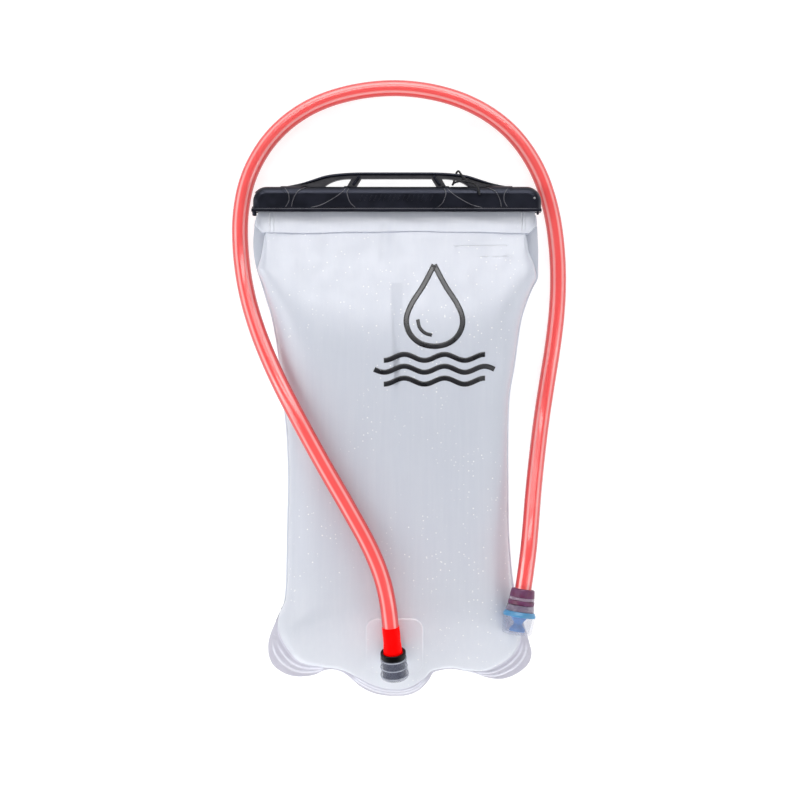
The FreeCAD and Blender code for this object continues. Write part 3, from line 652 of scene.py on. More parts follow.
def add_rings(mesh: bmesh.types.BMesh, outline: Array, spine: Array, rows: int,
              lift: Callable[[Array, Array], Array]) -> list:
    """Add a sheet of rings that shrink from a closed outline to a slot in its middle.

    Args:
        mesh: The mesh that gets the sheet.
        outline: The closed outline in plan, in millimetres, its last point like its first.
        spine: The slot's outline, point for point.
        rows: How many rings there are.
        lift: Gives the height of plan points.

    Returns:
        The sheet's vertices.
    """
    count = len(outline) - 1

    def place(round_about: Array, inward: Array) -> Array:
        """Points between the outline and the slot, closer together near the outline."""
        index = np.rint((round_about + 1) / 2 * count).astype(int)
        share = np.sin((inward + 1) * math.pi / 4)[:, None]
        plan = spine[index] + (outline[index] - spine[index]) * share
        return np.column_stack([plan, lift(plan[:, 0], plan[:, 1])])

    made = add_sheet(mesh, count, rows, place)
    bmesh.ops.remove_doubles(mesh, verts=made, dist=0.01 * MM)
    low, high = Vector((*spine.min(0) - 0.05, 0)) * MM, Vector((*spine.max(0) + 0.05, 0)) * MM
    middle = [edge for edge in mesh.edges if edge.is_boundary and all(
        low.x < vert.co.x < high.x and low.y < vert.co.y < high.y for vert in edge.verts)]
    bmesh.ops.contextual_create(mesh, geom=middle)
    return list(mesh.verts)


def face_up(mesh: bmesh.types.BMesh, up: bool) -> None:
    """Turn a sheet's faces up or down.

    Args:
        mesh: The mesh that holds only the sheet.
        up: Whether its faces look up.
    """
    mesh.normal_update()
    if (sum(face.normal.z * face.calc_area() for face in mesh.faces) > 0) != up:
        bmesh.ops.reverse_faces(mesh, faces=mesh.faces[:])


def make_piece(mesh: bmesh.types.BMesh, name: str, finishes: Sequence[Finish], body: Body,
               slot: Slot, replaces: Iterable[str] = (), crease: float = 35.0,
               wall: float = 0.0, wall_side: float = -1.0) -> bpy.types.Object:
    """Turn a mesh into a finished piece of the object.

    Args:
        mesh: The mesh, in metres and in place.
        name: The piece's name.
        finishes: Its finishes, in the order of its faces' material numbers.
        body: The body it rides on.
        slot: The record's slot of its finish; not used.
        replaces: The CAD nodes that it stands for.
        crease: The angle past which an edge stays sharp, in degrees.
        wall: The sheet's thickness in millimetres, or nothing for a solid.
        wall_side: Which side of the sheet its thickness goes to.

    Returns:
        The piece.
    """
    data = bpy.data.meshes.new(name)
    mesh.to_mesh(data)
    mesh.free()
    data.shade_smooth()
    data.set_sharp_from_angle(angle=math.radians(crease))
    piece = bpy.data.objects.new(name, data)
    bpy.context.scene.collection.objects.link(piece)
    for finish in finishes:
        data.materials.append(finish.material())
    if wall:
        solid = piece.modifiers.new("wall", "SOLIDIFY")
        solid.thickness = wall * MM
        solid.offset = wall_side
    else:
        even = piece.modifiers.new("even_shading", "WEIGHTED_NORMAL")
        even.keep_sharp = True
    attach(piece, body.value)
    if replaces:
        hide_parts(*replaces)
    LOG.info("%s: %d faces on %s", name, len(data.polygons), body.value)
    return piece


def turned(corners: Sequence[tuple[float, float]], place: Matrix, bevel: float = 0.25,
           steps: int = 72) -> bmesh.types.BMesh:
    """Spin a closed profile about Z, round its sharp edges and put it in place.

    Args:
        corners: The profile's corners as (radius, height), in millimetres.
        place: Where the axis stands, in metres.
        bevel: How much the edges are rounded, in millimetres.
        steps: Faces round the axis.

    Returns:
        The mesh.
    """
    mesh = bmesh.new()
    verts = [mesh.verts.new((radius * MM, 0.0, height * MM)) for radius, height in corners]
    edges = [mesh.edges.new((vert, verts[(index + 1) % len(verts)]))
             for index, vert in enumerate(verts)]
    bmesh.ops.spin(mesh, geom=verts + edges, cent=(0, 0, 0), axis=(0, 0, 1), dvec=(0, 0, 0),
                   angle=2 * math.pi, steps=steps, use_merge=True, use_duplicate=False)
    bmesh.ops.remove_doubles(mesh, verts=mesh.verts[:], dist=0.001 * MM)
    flat = [face for face in mesh.faces if face.calc_area() < 1e-14]
    bmesh.ops.delete(mesh, geom=flat, context="FACES_ONLY")
    bmesh.ops.recalc_face_normals(mesh, faces=mesh.faces[:])
    if bevel:
        sharp = [edge for edge in mesh.edges
                 if len(edge.link_faces) == 2 and edge.calc_face_angle(0) > math.radians(28)]
        bmesh.ops.bevel(mesh, geom=sharp, offset=bevel * MM, offset_type="OFFSET", segments=3,
                        profile=0.5, affect="EDGES", material=-1, clamp_overlap=True)
    bmesh.ops.transform(mesh, matrix=place, verts=mesh.verts[:])
    return mesh


def cad_copy(node: str) -> bmesh.types.BMesh:
    """A CAD node's mesh with its UV maps dropped, its loose triangles merged and its normals made
    to agree.

    Args:
        node: The node's name.

    Returns:
        The mesh, in place.
    """
    mesh = bmesh.new()
    mesh.from_mesh(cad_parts[node].data)
    for layer in list(mesh.loops.layers.uv):
        mesh.loops.layers.uv.remove(layer)
    bmesh.ops.remove_doubles(mesh, verts=mesh.verts[:], dist=0.002 * MM)
    bmesh.ops.recalc_face_normals(mesh, faces=mesh.faces[:])
    return mesh


def dress(node: str, finish: Finish) -> None:
    """Give a CAD node that stays in view its finish."""
    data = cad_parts[node].data
    data.materials.clear()
    data.materials.append(finish.material())


def frame_along(start: Vector, finish: Vector, down: Vector) -> Matrix:
    """A placement whose Z runs from start to finish and whose Y leans towards down.

    Args:
        start: Its origin, in millimetres.
        finish: A point on its Z axis.
        down: The direction its Y leans to.

    Returns:
        The placement, in metres.
    """
    ahead = (finish - start).normalized()
    side = down.cross(ahead).normalized()
    place = Matrix((side, ahead.cross(side), ahead)).transposed().to_4x4()
    place.translation = start * MM
    return place


# ---------------------------------------------------------------- camera and cords

@dataclass(frozen=True)
class Studio:
    """The camera, the floor and the lights, in millimetres and watts."""

    camera_across: float = 2.24
    camera_along: float = 22.1
    camera_height: float = 1524.0
    lens: float = 105.47
    floor_size: float = 9000.0
    floor_drop: float = 0.2

    def place_camera(self) -> None:
        """Look straight down on the object, with the closure at the top."""
        data = bpy.data.cameras.new("camera")
        data.lens = self.lens
        data.sensor_width = 36.0
        data.clip_start = 0.05
        data.clip_end = 60.0
        camera = bpy.data.objects.new("camera", data)
        camera.location = Vector((self.camera_across, self.camera_along, self.camera_height)) * MM
        bpy.context.scene.collection.objects.link(camera)
        bpy.context.scene.camera = camera

    def lay_floor(self) -> None:
        """A plain pale floor."""
        mesh = bmesh.new()
        bmesh.ops.create_grid(mesh, x_segments=1, y_segments=1, size=self.floor_size * MM / 2)
        data = bpy.data.meshes.new("floor")
        mesh.to_mesh(data)
        mesh.free()
        floor = bpy.data.objects.new("floor", data)
        floor.location.z = -self.floor_drop * MM
        data.materials.append(Finishes.FLOOR.material())
        bpy.context.scene.collection.objects.link(floor)

    def add_softbox(self, name: str, spot: Sequence[float], size: Sequence[float],
                    power: float, shown: bool = True, fills: bool = True) -> None:
        """Add a softbox that faces the object.

        Args:
            name: The light's name.
            spot: Where it stands, in metres.
            size: Its width and height, in metres.
            power: Its power.
            shown: Whether it is seen in glossy surfaces.
            fills: Whether it lights matt surfaces.
        """
        data = bpy.data.lights.new(name, "AREA")
        data.shape = "RECTANGLE"
        data.size, data.size_y = size
        data.energy = power
        light = bpy.data.objects.new(name, data)
        light.location = spot
        light.rotation_mode = "QUATERNION"
        light.rotation_quaternion = Vector(spot).to_track_quat("Z", "Y")
        light.visible_glossy = shown
        light.visible_diffuse = fills
        bpy.context.scene.collection.objects.link(light)

    def light(self) -> None:
        """A pale room, darker overhead, with softboxes round the object."""
        world = bpy.data.worlds.new("studio")
        world.use_nodes = True
        tree = world.node_tree
        tree.nodes.clear()
        ray = add_node(tree, "TexCoord").outputs["Generated"]
        height = add_node(tree, "SeparateXYZ", links={"Vector": ray}).outputs["Z"]
        sky = mixed(tree, ranged(tree, height, 0.1, 0.55), linear("#eff0f4"), linear("#26282e"))
        room = add_node(tree, "Background", None, {"Strength": 1.0}, {"Color": sky})
        add_node(tree, "OutputWorld", links={"Surface": room.outputs["Background"]})
        bpy.context.scene.world = world
        bpy.context.scene.view_settings.view_transform = "Standard"
        self.add_softbox("head_softbox", (0.1, 1.3, 0.75), (1.6, 0.5), 11.0)
        self.add_softbox("high_head_softbox", (0.0, 1.0, 1.35), (1.4, 0.4), 16.0, fills=False)
        self.add_softbox("left_softbox", (-1.3, 0.1, 1.0), (0.4, 1.4), 10.0)
        self.add_softbox("right_softbox", (1.3, -0.2, 1.2), (0.4, 1.4), 6.0)
        self.add_softbox("foot_softbox", (0.0, -1.5, 0.8), (1.6, 0.7), 16.0, shown=False)
        self.add_softbox("top_fill", (0.0, -0.3, 2.4), (1.6, 1.6), 14.0, shown=False)


@dataclass
class DrinkTube:
    """The red drink tube, its stretched end on the barb, and the tether cord."""

    tube_radius: float = 5.25
    bore_radius: float = 3.2
    tube_length: float = 847.1
    end_share: float = 0.021
    end_proud: float = 0.22
    tether_radius: float = 0.65
    tether_length: float = 50.6
    knot_radius: float = 1.9
    route: tuple = (
        (-2.2, -136.47, 48.17), (-3.67, -117.05, 56.02), (-7, -94.5, 58.6), (-15, -73, 56.2),
        (-28.5, -48.5, 54.2), (-46.3, -18, 53.4), (-63.3, 13, 51.8), (-76.7, 38.5, 43),
        (-88.3, 64.5, 28.5), (-96.8, 90.5, 14), (-101.2, 117, 6.4), (-101.6, 144, 5.3),
        (-95.5, 170.6, 5.3), (-79.7, 195.5, 5.3), (-55.5, 213.6, 5.3), (-24.3, 223.2, 5.3),
        (9.6, 224.8, 5.3), (43.8, 217, 5.3), (72.2, 199.6, 5.3), (90.8, 174.6, 5.3),
        (100.6, 146.3, 5.3), (104.6, 115.8, 5.3), (104.7, 86.7, 5.3), (101.6, 58.5, 5.3),
        (97.4, 33, 5.3), (93.7, 10, 8.4), (90.3, -13, 18.2), (87.2, -36, 30),
        (84.9, -58, 41.5), (82.8, -77.52, 47.4), (79.9, -96.8, 47.4))
    tether_route: tuple = (
        (43.8, 163.2, 28.9), (41.2, 166, 28), (39.9, 168.6, 25.4), (38.8, 168.6, 21.7),
        (37.8, 166, 19.1), (36.9, 162.4, 19.1), (36, 159.9, 21.6), (35.8, 160, 25.4),
        (37.4, 161, 29), (41.2, 161.6, 30.9), (45.4, 161.4, 30.6), (49.4, 160, 31.4),
        (52.3, 157, 32.6), (52.9, 152.8, 32.7))

    def curve(self, name: str, route: Sequence[Sequence[float]], radius: float,
              finish: Finish) -> bpy.types.Object:
        """A smooth round cord along a route.

        Args:
            name: The piece's name.
            route: Its control points, in millimetres.
            radius: Its radius, in millimetres.
            finish: Its finish.

        Returns:
            The curve object.
        """
        data = bpy.data.curves.new(name, "CURVE")
        data.dimensions = "3D"
        data.resolution_u = 12
        data.bevel_depth = radius * MM
        data.bevel_resolution = 8
        data.use_fill_caps = True
        data.twist_mode = "Z_UP"
        spline = data.splines.new("NURBS")
        spline.points.add(len(route) - 1)
        for point, spot in zip(spline.points, route):
            point.co = (*(Vector(spot) * MM), 1.0)
        spline.order_u = 3
        spline.use_endpoint_u = True
        data.materials.append(finish.material())
        piece = bpy.data.objects.new(name, data)
        bpy.context.scene.collection.objects.link(piece)
        LOG.info("%s: cord of %d points", name, len(route))
        return piece

    def build_tube(self) -> bpy.types.Object:
        """Make the drink tube."""
        tube = self.curve("drink_tube_red", self.route, self.tube_radius, Finishes.TUBE)
        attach(tube, Body.DRINK_LINE.value)
        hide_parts("drink_tube")
        return tube

    def build_end(self) -> bpy.types.Object:
        """Make the tube's denser end, stretched over the barb."""
        end = self.curve("drink_tube_end", self.route, self.tube_radius + self.end_proud,
                         Finishes.TUBE_END)
        end.data.bevel_factor_end = self.end_share
        end.data.bevel_factor_mapping_end = "SPLINE"
        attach(end, Body.DRINK_LINE.value)
        return end

    def build_bore(self) -> bpy.types.Object:
        """Make the saturated bore that shows through the tube's wall."""
        bore = self.curve("drink_tube_bore", self.route, self.bore_radius, Finishes.BORE)
        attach(bore, Body.DRINK_LINE.value)
        return bore

    def build_tether(self) -> None:
        """Make the tether cord and its knot."""
        cord = self.curve("tether_cord_black", self.tether_route, self.tether_radius,
                          Finishes.CORD)
        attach(cord, Body.CLOSURE.value)
        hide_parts("tether_cord")
        low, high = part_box("tether_knot")
        middle = (low + high) / 2
        mesh = bmesh.new()
        for lean, radius in ((0.5, 1.5), (-0.9, 1.4)):
            loop = bmesh.ops.create_icosphere(
                mesh, subdivisions=3, radius=self.knot_radius * 0.62 * MM)["verts"]
            turn = Matrix.Translation(middle) @ Matrix.Rotation(lean, 4, "Z") @ Matrix.Diagonal(
                (radius, 0.8, 1.0, 1.0))
            bmesh.ops.transform(mesh, matrix=turn, verts=loop)
        knot = make_piece(mesh, "tether_knot_black", [Finishes.CORD], Body.CLOSURE, Slot.CORD,
                          ["tether_knot"], crease=60)
        tuple(Vector(self.tether_route[0]) * MM)

    def declare(self) -> None:
        """Work out the tube's first point in metres, and keep nothing."""
        tuple(Vector(self.route[0]) * MM)


# ---------------------------------------------------------------- film bag

@dataclass
class FilmBag:
    """The welded bag: puffed front and rear films, gussets, lobed weld flange and mouth."""

    seam: float = 23.5
    half_seam: float = 0.5
    crown: float = 22.9
    rear_crown: float = 23.3
    shoulder: float = 50.0
    fullness: float = 2.7
    rear_shoulder: float = 34.0
    rear_fullness: float = 3.0
    port_crest: float = -110.0
    port_slope: float = 22.0
    port_blend: float = 3.0
    mouth_crest: float = 59.6
    mouth_slope: float = 15.0
    mouth_blend: float = 6.0
    tuck: float = 2.2
    film: float = 0.4
    flange: float = 0.7
    spine_half: float = 3.0
    spine_low: float = -96.0
    spine_high: float = 96.0
    split: float = -113.0
    # The films' outer edge and the puffed front's weld edge, point for point, from the mouth's
    # right corner down and round to its left corner.
    edges: tuple = (
        ((89.8, 137), (81.0, 137)), ((90.4, 126), (83.2, 126)), ((90.8, 117), (84.6, 117)),
        ((90.7, 108), (88.0, 108)), ((90.5, 100), (89.2, 100.5)), ((87.4, 93.8), (86.3, 94)),
        ((84.2, 86.1), (83.1, 86.4)), ((80.3, 73.9), (79.2, 74.1)), ((78.1, 60.5), (77, 60.7)),
        ((75.8, 43.8), (74.7, 44)), ((72.6, 24), (71.5, 24)), ((71.7, -1.6), (70.6, -1.6)),
        ((71.7, -31), (70.6, -31)), ((72, -60), (70.9, -60)), ((73.3, -80), (72.1, -80)),
        ((74.9, -95), (73.6, -95.5)), ((78, -110), (75.5, -111)), ((81.8, -122), (78.4, -121)),
        ((85, -133), (79.2, -130.5)), ((86.4, -140.5), (75.8, -138.6)),
        ((84, -147.2), (70.7, -143.7)), ((77, -153), (64, -148)),
        ((67.5, -156.4), (57, -150.8)), ((57.5, -155.4), (50, -151)),
        ((49.6, -152.4), (44.5, -150.6)), ((42, -151), (39.5, -149.6)),
        ((35, -150), (34.4, -149)), ((28, -150.9), (27, -149.8)),
        ((23.4, -152.6), (22, -151.4)), ((20.6, -157.2), (18, -155.6)),
        ((15, -163.3), (12, -159.8)), ((7, -166.8), (5.5, -162.4)), ((-1, -167.3), (-2, -163)),
        ((-9, -166.8), (-9, -162)), ((-17, -164.6), (-16, -159.6)),
        ((-24, -160.6), (-22.5, -156.3)), ((-30.5, -154.8), (-29, -153)),
        ((-35.5, -151.6), (-35, -150.4)), ((-41.3, -150.3), (-41, -149.2)),
        ((-46.5, -151), (-45.5, -148.9)), ((-52, -153.6), (-50, -147.9)),
        ((-59, -154.8), (-56, -147.2)), ((-66.2, -154.6), (-61.5, -145.3)),
        ((-72.5, -152.4), (-66.2, -141.8)), ((-78.5, -148), (-70.4, -136)),
        ((-81.6, -141.6), (-73.6, -130.5)), ((-82, -133.6), (-75.4, -125.5)),
        ((-80.2, -126.5), (-76, -120)), ((-76.9, -118.9), (-74.8, -114.5)),
        ((-73.6, -112.3), (-72.4, -109)), ((-71.5, -104), (-70.4, -103)),
        ((-70.7, -90), (-69.6, -90)), ((-70.1, -60), (-69, -60)), ((-69.5, -31), (-68.4, -31)),
        ((-70.1, -6), (-69, -6)), ((-71.8, 14), (-70.7, 14)), ((-75.8, 50), (-74.7, 50)),
        ((-77.9, 64.3), (-76.8, 64.5)), ((-80.4, 76.5), (-79.3, 76.8)),
        ((-83.6, 86.6), (-82.5, 86.9)), ((-87, 98), (-85.8, 97.6)),
        ((-89.6, 106), (-88.8, 105)), ((-91.2, 114), (-86.9, 112.5)),
        ((-91.7, 121), (-85.4, 121)), ((-91.6, 126), (-84.6, 126)), ((-90.6, 137), (-82.0, 137)))

    def __post_init__(self) -> None:
        """Work out the smooth edges."""
        self.outer = smooth_line([pair[0] for pair in self.edges])
        self.inner = smooth_line([pair[1] for pair in self.edges])
        panel = self.inner
        top = np.column_stack([np.linspace(panel[-1][0], panel[0][0], 41),
                               np.full(41, panel[0][1])])
        self.panel_edge = panel
        self.outline = np.vstack([panel, top[1:]])
        spine = np.clip(self.outline, (-1e3, self.spine_low), (1e3, self.spine_high))
        half_width = np.abs(self.outline[:, 0]).max()
        self.spine = np.column_stack([self.outline[:, 0] / half_width * self.spine_half,
                                      spine[:, 1]])

    def crease(self, across: Array) -> Array:
        """Where the folded mouth's lower edge lies, wavy and lifted at the two sides."""
        wavy = 128.5 + 0.55 * np.sin(across / 24 + 1.1) + 0.2 * np.sin(across / 7.0)
        return wavy + 5.0 * smooth_step(np.abs(across), 83.5, 90)

    def puff(self, gap: Array, shoulder: float, fullness: float) -> Array:
        """How full the film stands, from 0 at its weld edge to 1 past its shoulder."""
        share = np.clip(gap / shoulder, 0, 1)
        return (1 - (1 - share) ** fullness) ** (1 / fullness)

    def smaller(self, first: Array, second: Array, blend: float) -> Array:
        """The smaller of two heights, with the crease between them rounded off."""
        share = np.clip(0.5 + 0.5 * (second - first) / blend, 0, 1)
        return second + (first - second) * share - blend * share * (1 - share)

    def tapered(self, full: Array, along: Array) -> Array:
        """Bring a puffed height down towards the outlet and towards the mouth.

        Args:
            full: The heights over the seam, in millimetres.
            along: The points' Y.

        Returns:
            The heights with the two slopes.
        """
        port = self.crown - (self.port_crest - along) * math.tan(math.radians(self.port_slope))
        mouth = self.crown - (along - self.mouth_crest) * math.tan(math.radians(self.mouth_slope))
        height = self.smaller(full, np.maximum(port, 0.3), self.port_blend)
        return self.smaller(height, mouth, self.mouth_blend)

    def front(self, across: Array, along: Array) -> Array:
        """The front film's height over the floor.

        Args:
            across: The points' X, in millimetres.
            along: The points' Y, in millimetres.

        Returns:
            The heights, in millimetres.
        """
        gap = distance_to(self.panel_edge, across, along)
        full = self.crown * self.puff(gap, self.shoulder, self.fullness)
        height = self.tapered(full, along)
        wave = (0.35 * np.sin(across / 17 + along / 41) * np.sin(along / 23 - across / 60)
                - 0.35) * smooth_step(gap, 4, 26)
        pinch = -1.1 * np.exp(-((across + 7) / 3.2) ** 2 - ((along - 122) / 9) ** 2)
        patch = 1 - smooth_step(np.hypot((across + 2) / 24, (along + 140) / 30), 0.9, 1.2)
        height = height + (wave + pinch) * (1 - patch)
        height = height - self.tuck * smooth_step(along - self.crease(across), 0.2, 2.4)
        return self.seam + self.half_seam + np.maximum(height, 0.0)

    def rear(self, across: Array, along: Array) -> Array:
        """The rear film's height over the floor, flat where it rests.

        Args:
            across: The points' X.
            along: The points' Y.

        Returns:
            Their heights, in millimetres.
        """
        gap = distance_to(self.panel_edge, across, along)
        full = self.rear_crown * self.puff(gap, self.rear_shoulder, self.rear_fullness)
        height = self.tapered(full, along)
        height = height - self.tuck * smooth_step(along - self.crease(across), 0.2, 2.4)
        return self.seam - np.clip(height, 0.0, self.seam - 0.15)

    def build_panels(self) -> None:
        """Make the puffed front and rear films."""
        for name, node, lift, up in (("front_film", "front_panel", self.front, True),
                                     ("rear_film", "rear_panel", self.rear, False)):
            mesh = bmesh.new()
            add_rings(mesh, self.outline, self.spine, 64, lift)
            face_up(mesh, up)
            make_piece(mesh, name, [Finishes.FILM], Body.BAG, Slot.FILM, [node], crease=60,
                       wall=self.film)

    def strip(self, start: int, finish: int, name: str, node: str, finish_of: Finish) -> None:
        """Make one stretch of the band between the films' outer edge and the weld edge.

        Args:
            start: The first point of the smooth edges that it takes.
            finish: The last one.
            name: The piece's name.
            node: The CAD node that it stands for.
            finish_of: Its finish.
        """
        count = finish - start
        weld: list[float] = []

        def place(along: Array, outward: Array) -> Array:
            """Points across the band, with ridges where the lobes are wide."""
            index = start + np.rint((along + 1) / 2 * count).astype(int)
            inner, outer = self.inner[index], self.outer[index]
            wide = np.linalg.norm(outer - inner, axis=1)
            share = (outward + 1) / 2
            tuck = -0.25 * smooth_step(wide, 6, 1) - 2.0 / np.maximum(wide, 1.0)
            reach = tuck + (1 - tuck) * share
            plan = inner + (outer - inner) * reach[:, None]
            lobes = smooth_step(-plan[:, 1], 131, 139) * smooth_step(wide, 2.4, 4.2)
            ridge = np.zeros(len(reach))
            for middle in (0.3, 0.62):
                ridge = np.maximum(ridge, np.exp(-((reach - middle) * wide / 0.62) ** 2))
            edge = np.exp(-((reach - 0.06) * wide / 0.5) ** 2)
            weld.extend(np.maximum(ridge * lobes, 0.7 * edge * smooth_step(wide, 2, 4)))
            height = self.seam + 0.45 * ridge * lobes
            return np.column_stack([plan, height])

        mesh = bmesh.new()
        add_sheet(mesh, count, 40, place)
        layer = mesh.verts.layers.float.new("weld")
        for vert, value in zip(mesh.verts, weld):
            vert[layer] = value
        face_up(mesh, True)
        make_piece(mesh, name, [finish_of], Body.BAG, Slot.FILM, [node], crease=60,
                   wall=self.flange, wall_side=0.0)

    def build_gussets(self) -> None:
        """Make the side gussets and the lobed bottom flange."""
        along = self.outer[:, 1]
        last_right = int(np.argmax(along < self.split))
        last_left = len(along) - 1 - int(np.argmax(along[::-1] < self.split))
        self.strip(0, last_right, "right_gusset_film", "right_gusset", Finishes.GUSSET)
        self.strip(last_right, last_left, "bottom_flange_film", "bottom_gusset", Finishes.WELD)
        self.strip(last_left, len(along) - 1, "left_gusset_film", "left_gusset",
                   Finishes.GUSSET)

    def mouth_height(self, across: Array, along: Array) -> Array:
        """Half the folded mouth's thickness, from its lower edge up into the closure.

        Args:
            across: The points' X.
            along: The points' Y.

        Returns:
            The half thicknesses, in millimetres.
        """
        low = self.crease(across)
        slope = math.tan(math.radians(self.mouth_slope))
        thick = self.crown - (low - self.mouth_crest) * slope + self.half_seam + 0.35
        share = np.clip((along - low) / (142.6 - low), 0, 1)
        opened = thick + (1.15 - thick) * share ** 1.2
        side = np.clip((np.abs(across) - 80) / 10.5, 0, 1)
        slack = 0.2 * np.sin(across / 9.0 + along / 5.0) * np.sin(share * math.pi)
        pinch = -0.8 * np.exp(-((across + 7) / 2.6) ** 2 - ((along - 131) / 5) ** 2)
        return (opened + slack + pinch) * np.sqrt(1 - side ** 2.4)

    def build_mouth(self) -> None:
        """Make the folded mouth that goes into the closure, and its weld marks."""
        levels, lefts, rights = zip(
            (124, -91.6, 90.4), (126, -91.6, 90.4), (131, -91.2, 90.1), (134, -91, 89.9),
            (139, -89.9, 89.6), (141, -88.9, 88.7), (142.5, -88.4, 88.4), (160, -88.4, 88.4))

        def place(sideways: Array, over: Array) -> Array:
            """Points up the front of the fold and down its back."""
            share = np.abs(over)
            across = 90 * np.sin(sideways * math.pi / 2)
            low = self.crease(across)
            along = low + (153.0 - low) * np.sin(share * math.pi / 2)
            left = np.interp(along, levels, lefts)
            right = np.interp(along, levels, rights)
            middle, half = (left + right) / 2, (right - left) / 2
            across = middle + half * np.sin(sideways * math.pi / 2)
            lip = 0.3 * np.exp(-((along - self.crease(across)) / 0.8) ** 2)
            half_thick = self.mouth_height(across, along) + lip
            side = np.sign(-over)
            return np.column_stack([across, along, self.seam + half_thick * side])

        mesh = bmesh.new()
        made = add_sheet(mesh, 150, 90, place)
        bmesh.ops.remove_doubles(mesh, verts=made, dist=0.02 * MM)
        bmesh.ops.recalc_face_normals(mesh, faces=mesh.faces[:])
        upper = [face for face in mesh.faces if face.calc_center_median().z > self.seam * MM]
        if sum(face.normal.z for face in upper) < 0:
            bmesh.ops.reverse_faces(mesh, faces=mesh.faces[:])
        make_piece(mesh, "mouth_film", [Finishes.MOUTH], Body.BAG, Slot.FILM, ["mouth_fold"],
                   crease=70, wall=0.3)

    def build_marks(self) -> None:
        """Make the mouth's weld seams and the moulded fill lines below it."""
        mesh = bmesh.new()
        for across, wide in ((-80.9, 0.8), (-78.3, 0.5), (80.2, 0.8), (82.0, 0.5)):
            def on_mouth(sideways: Array, upward: Array) -> Array:
                """Points on the folded mouth."""
                here = across + sideways * wide / 2
                along = 135.6 + 6.4 * upward
                lift = 0.16 * np.sqrt(np.clip(1 - sideways ** 2, 0, 1))
                return np.column_stack([
                    here, along, self.seam + self.mouth_height(here, along) + lift])
            add_sheet(mesh, 4, 30, on_mouth)
        lines = [((36.5, 120.2), (70.5, 120.6), 0.7), ((52, 113.4), (58.5, 113.4), 0.6),
                 ((61, 113.4), (64.5, 113.4), 0.6), ((67, 113.5), (70.5, 113.5), 0.6)]
        for start, finish, wide in lines:
            def on_front(along: Array, sideways: Array) -> Array:
                """Points on the front film."""
                share = (along + 1) / 2
                here = start[0] + (finish[0] - start[0]) * share
                there = start[1] + (finish[1] - start[1]) * share + sideways * wide / 2
                lift = 0.14 * np.sqrt(np.clip(1 - sideways ** 2, 0, 1))
                return np.column_stack([here, there, self.front(here, there) + lift])
            add_sheet(mesh, 30, 4, on_front)
        face_up(mesh, True)
        layer = mesh.verts.layers.float.new("weld")
        for vert in mesh.verts:
            vert[layer] = 0.45
        make_piece(mesh, "front_weld_marks", [Finishes.PATCH], Body.BAG, Slot.FILM, crease=60,
                   wall=0.2)

    def stroke(self, mesh: bmesh.types.BMesh, line: Array, wide: float, steps: int) -> None:
        """Lay a printed stroke of even width on the front film.

        Args:
            mesh: The mesh that gets the stroke.
            line: The stroke's middle in plan, one point a row.
            wide: Its width.
            steps: Faces along it.
        """
        def place(along: Array, sideways: Array) -> Array:
            """Points across the stroke."""
            share = (along + 1) / 2
            middle = at_share(line, share)
            ahead = (at_share(line, np.clip(share + 0.004, 0, 1))
                     - at_share(line, np.clip(share - 0.004, 0, 1)))
            ahead /= np.linalg.norm(ahead, axis=1)[:, None]
            side = np.column_stack([-ahead[:, 1], ahead[:, 0]])
            plan = middle + side * (sideways * wide / 2)[:, None]
            return np.column_stack([plan, self.front(plan[:, 0], plan[:, 1]) + 0.1])

        add_sheet(mesh, steps, 4, place)

    def build_print(self) -> None:
        """Print a plain water drop over three waves."""
        mesh = bmesh.new()
        drop = smooth_line([(24, 108), (17.2, 95), (9.4, 82.5), (6.2, 73), (8.2, 64.5),
                            (14.6, 58.2), (24, 56), (33.4, 58.2), (39.8, 64.5), (41.8, 73),
                            (38.6, 82.5), (30.8, 95), (24, 108)], 10)
        self.stroke(mesh, drop, 3.4, 260)
        glint = smooth_line([(13.4, 73), (14.6, 68), (18, 64.4), (22.4, 63)], 8)
        self.stroke(mesh, glint, 2.2, 40)
        for level, reach in ((49, 32), (41.5, 38), (34, 32)):
            places = np.linspace(-1, 1, 90)
            line = np.column_stack([24 + places * reach,
                                    level + 1.9 * np.sin(places * reach / 38 * 9.4)])
            self.stroke(mesh, line, 3.2, 150)
        face_up(mesh, True)
        make_piece(mesh, "front_print", [Finishes.INK], Body.BAG, Slot.FILM, crease=60,
                   wall=0.12)

    def rim_share(self, across: Array) -> Array:
        """How much the patch's rim stands out, less on its left."""
        return 0.3 + 0.7 * smooth_step(across, -16, -8)

    def build_patch(self) -> None:
        """Make the outlet's weld patch with its light rim."""
        left, right, low, high, corner = -19.6, 17.2, -152.0, -115.4, 7.0
        corners = []
        for middle_x, middle_y, start in ((right - corner, high - corner, 0),
                                          (left + corner, high - corner, 90),
                                          (left + corner, low + corner, 180),
                                          (right - corner, low + corner, 270)):
            for angle in np.radians(np.linspace(start, start + 90, 13)):
                corners.append((middle_x + corner * math.cos(angle),
                                middle_y + corner * math.sin(angle)))
        edge = np.array(corners + corners[:1])
        outline = at_share(edge, np.linspace(0, 1, 161))
        centre = np.array([(left + right) / 2, (low + high) / 2])
        spine = centre + (outline - centre) * 0.04

        def lift(across: Array, along: Array) -> Array:
            """The patch's top, with a rim that fades towards the bottom."""
            gap = distance_to(outline, across, along)
            fade = smooth_step(along, -150, -136)
            rim = 0.42 * np.exp(-((gap - 0.8) / 0.5) ** 2) * fade
            plate = 0.16 * smooth_step(gap, 0, 0.5)
            return self.front(across, along) + rim * self.rim_share(across) + plate

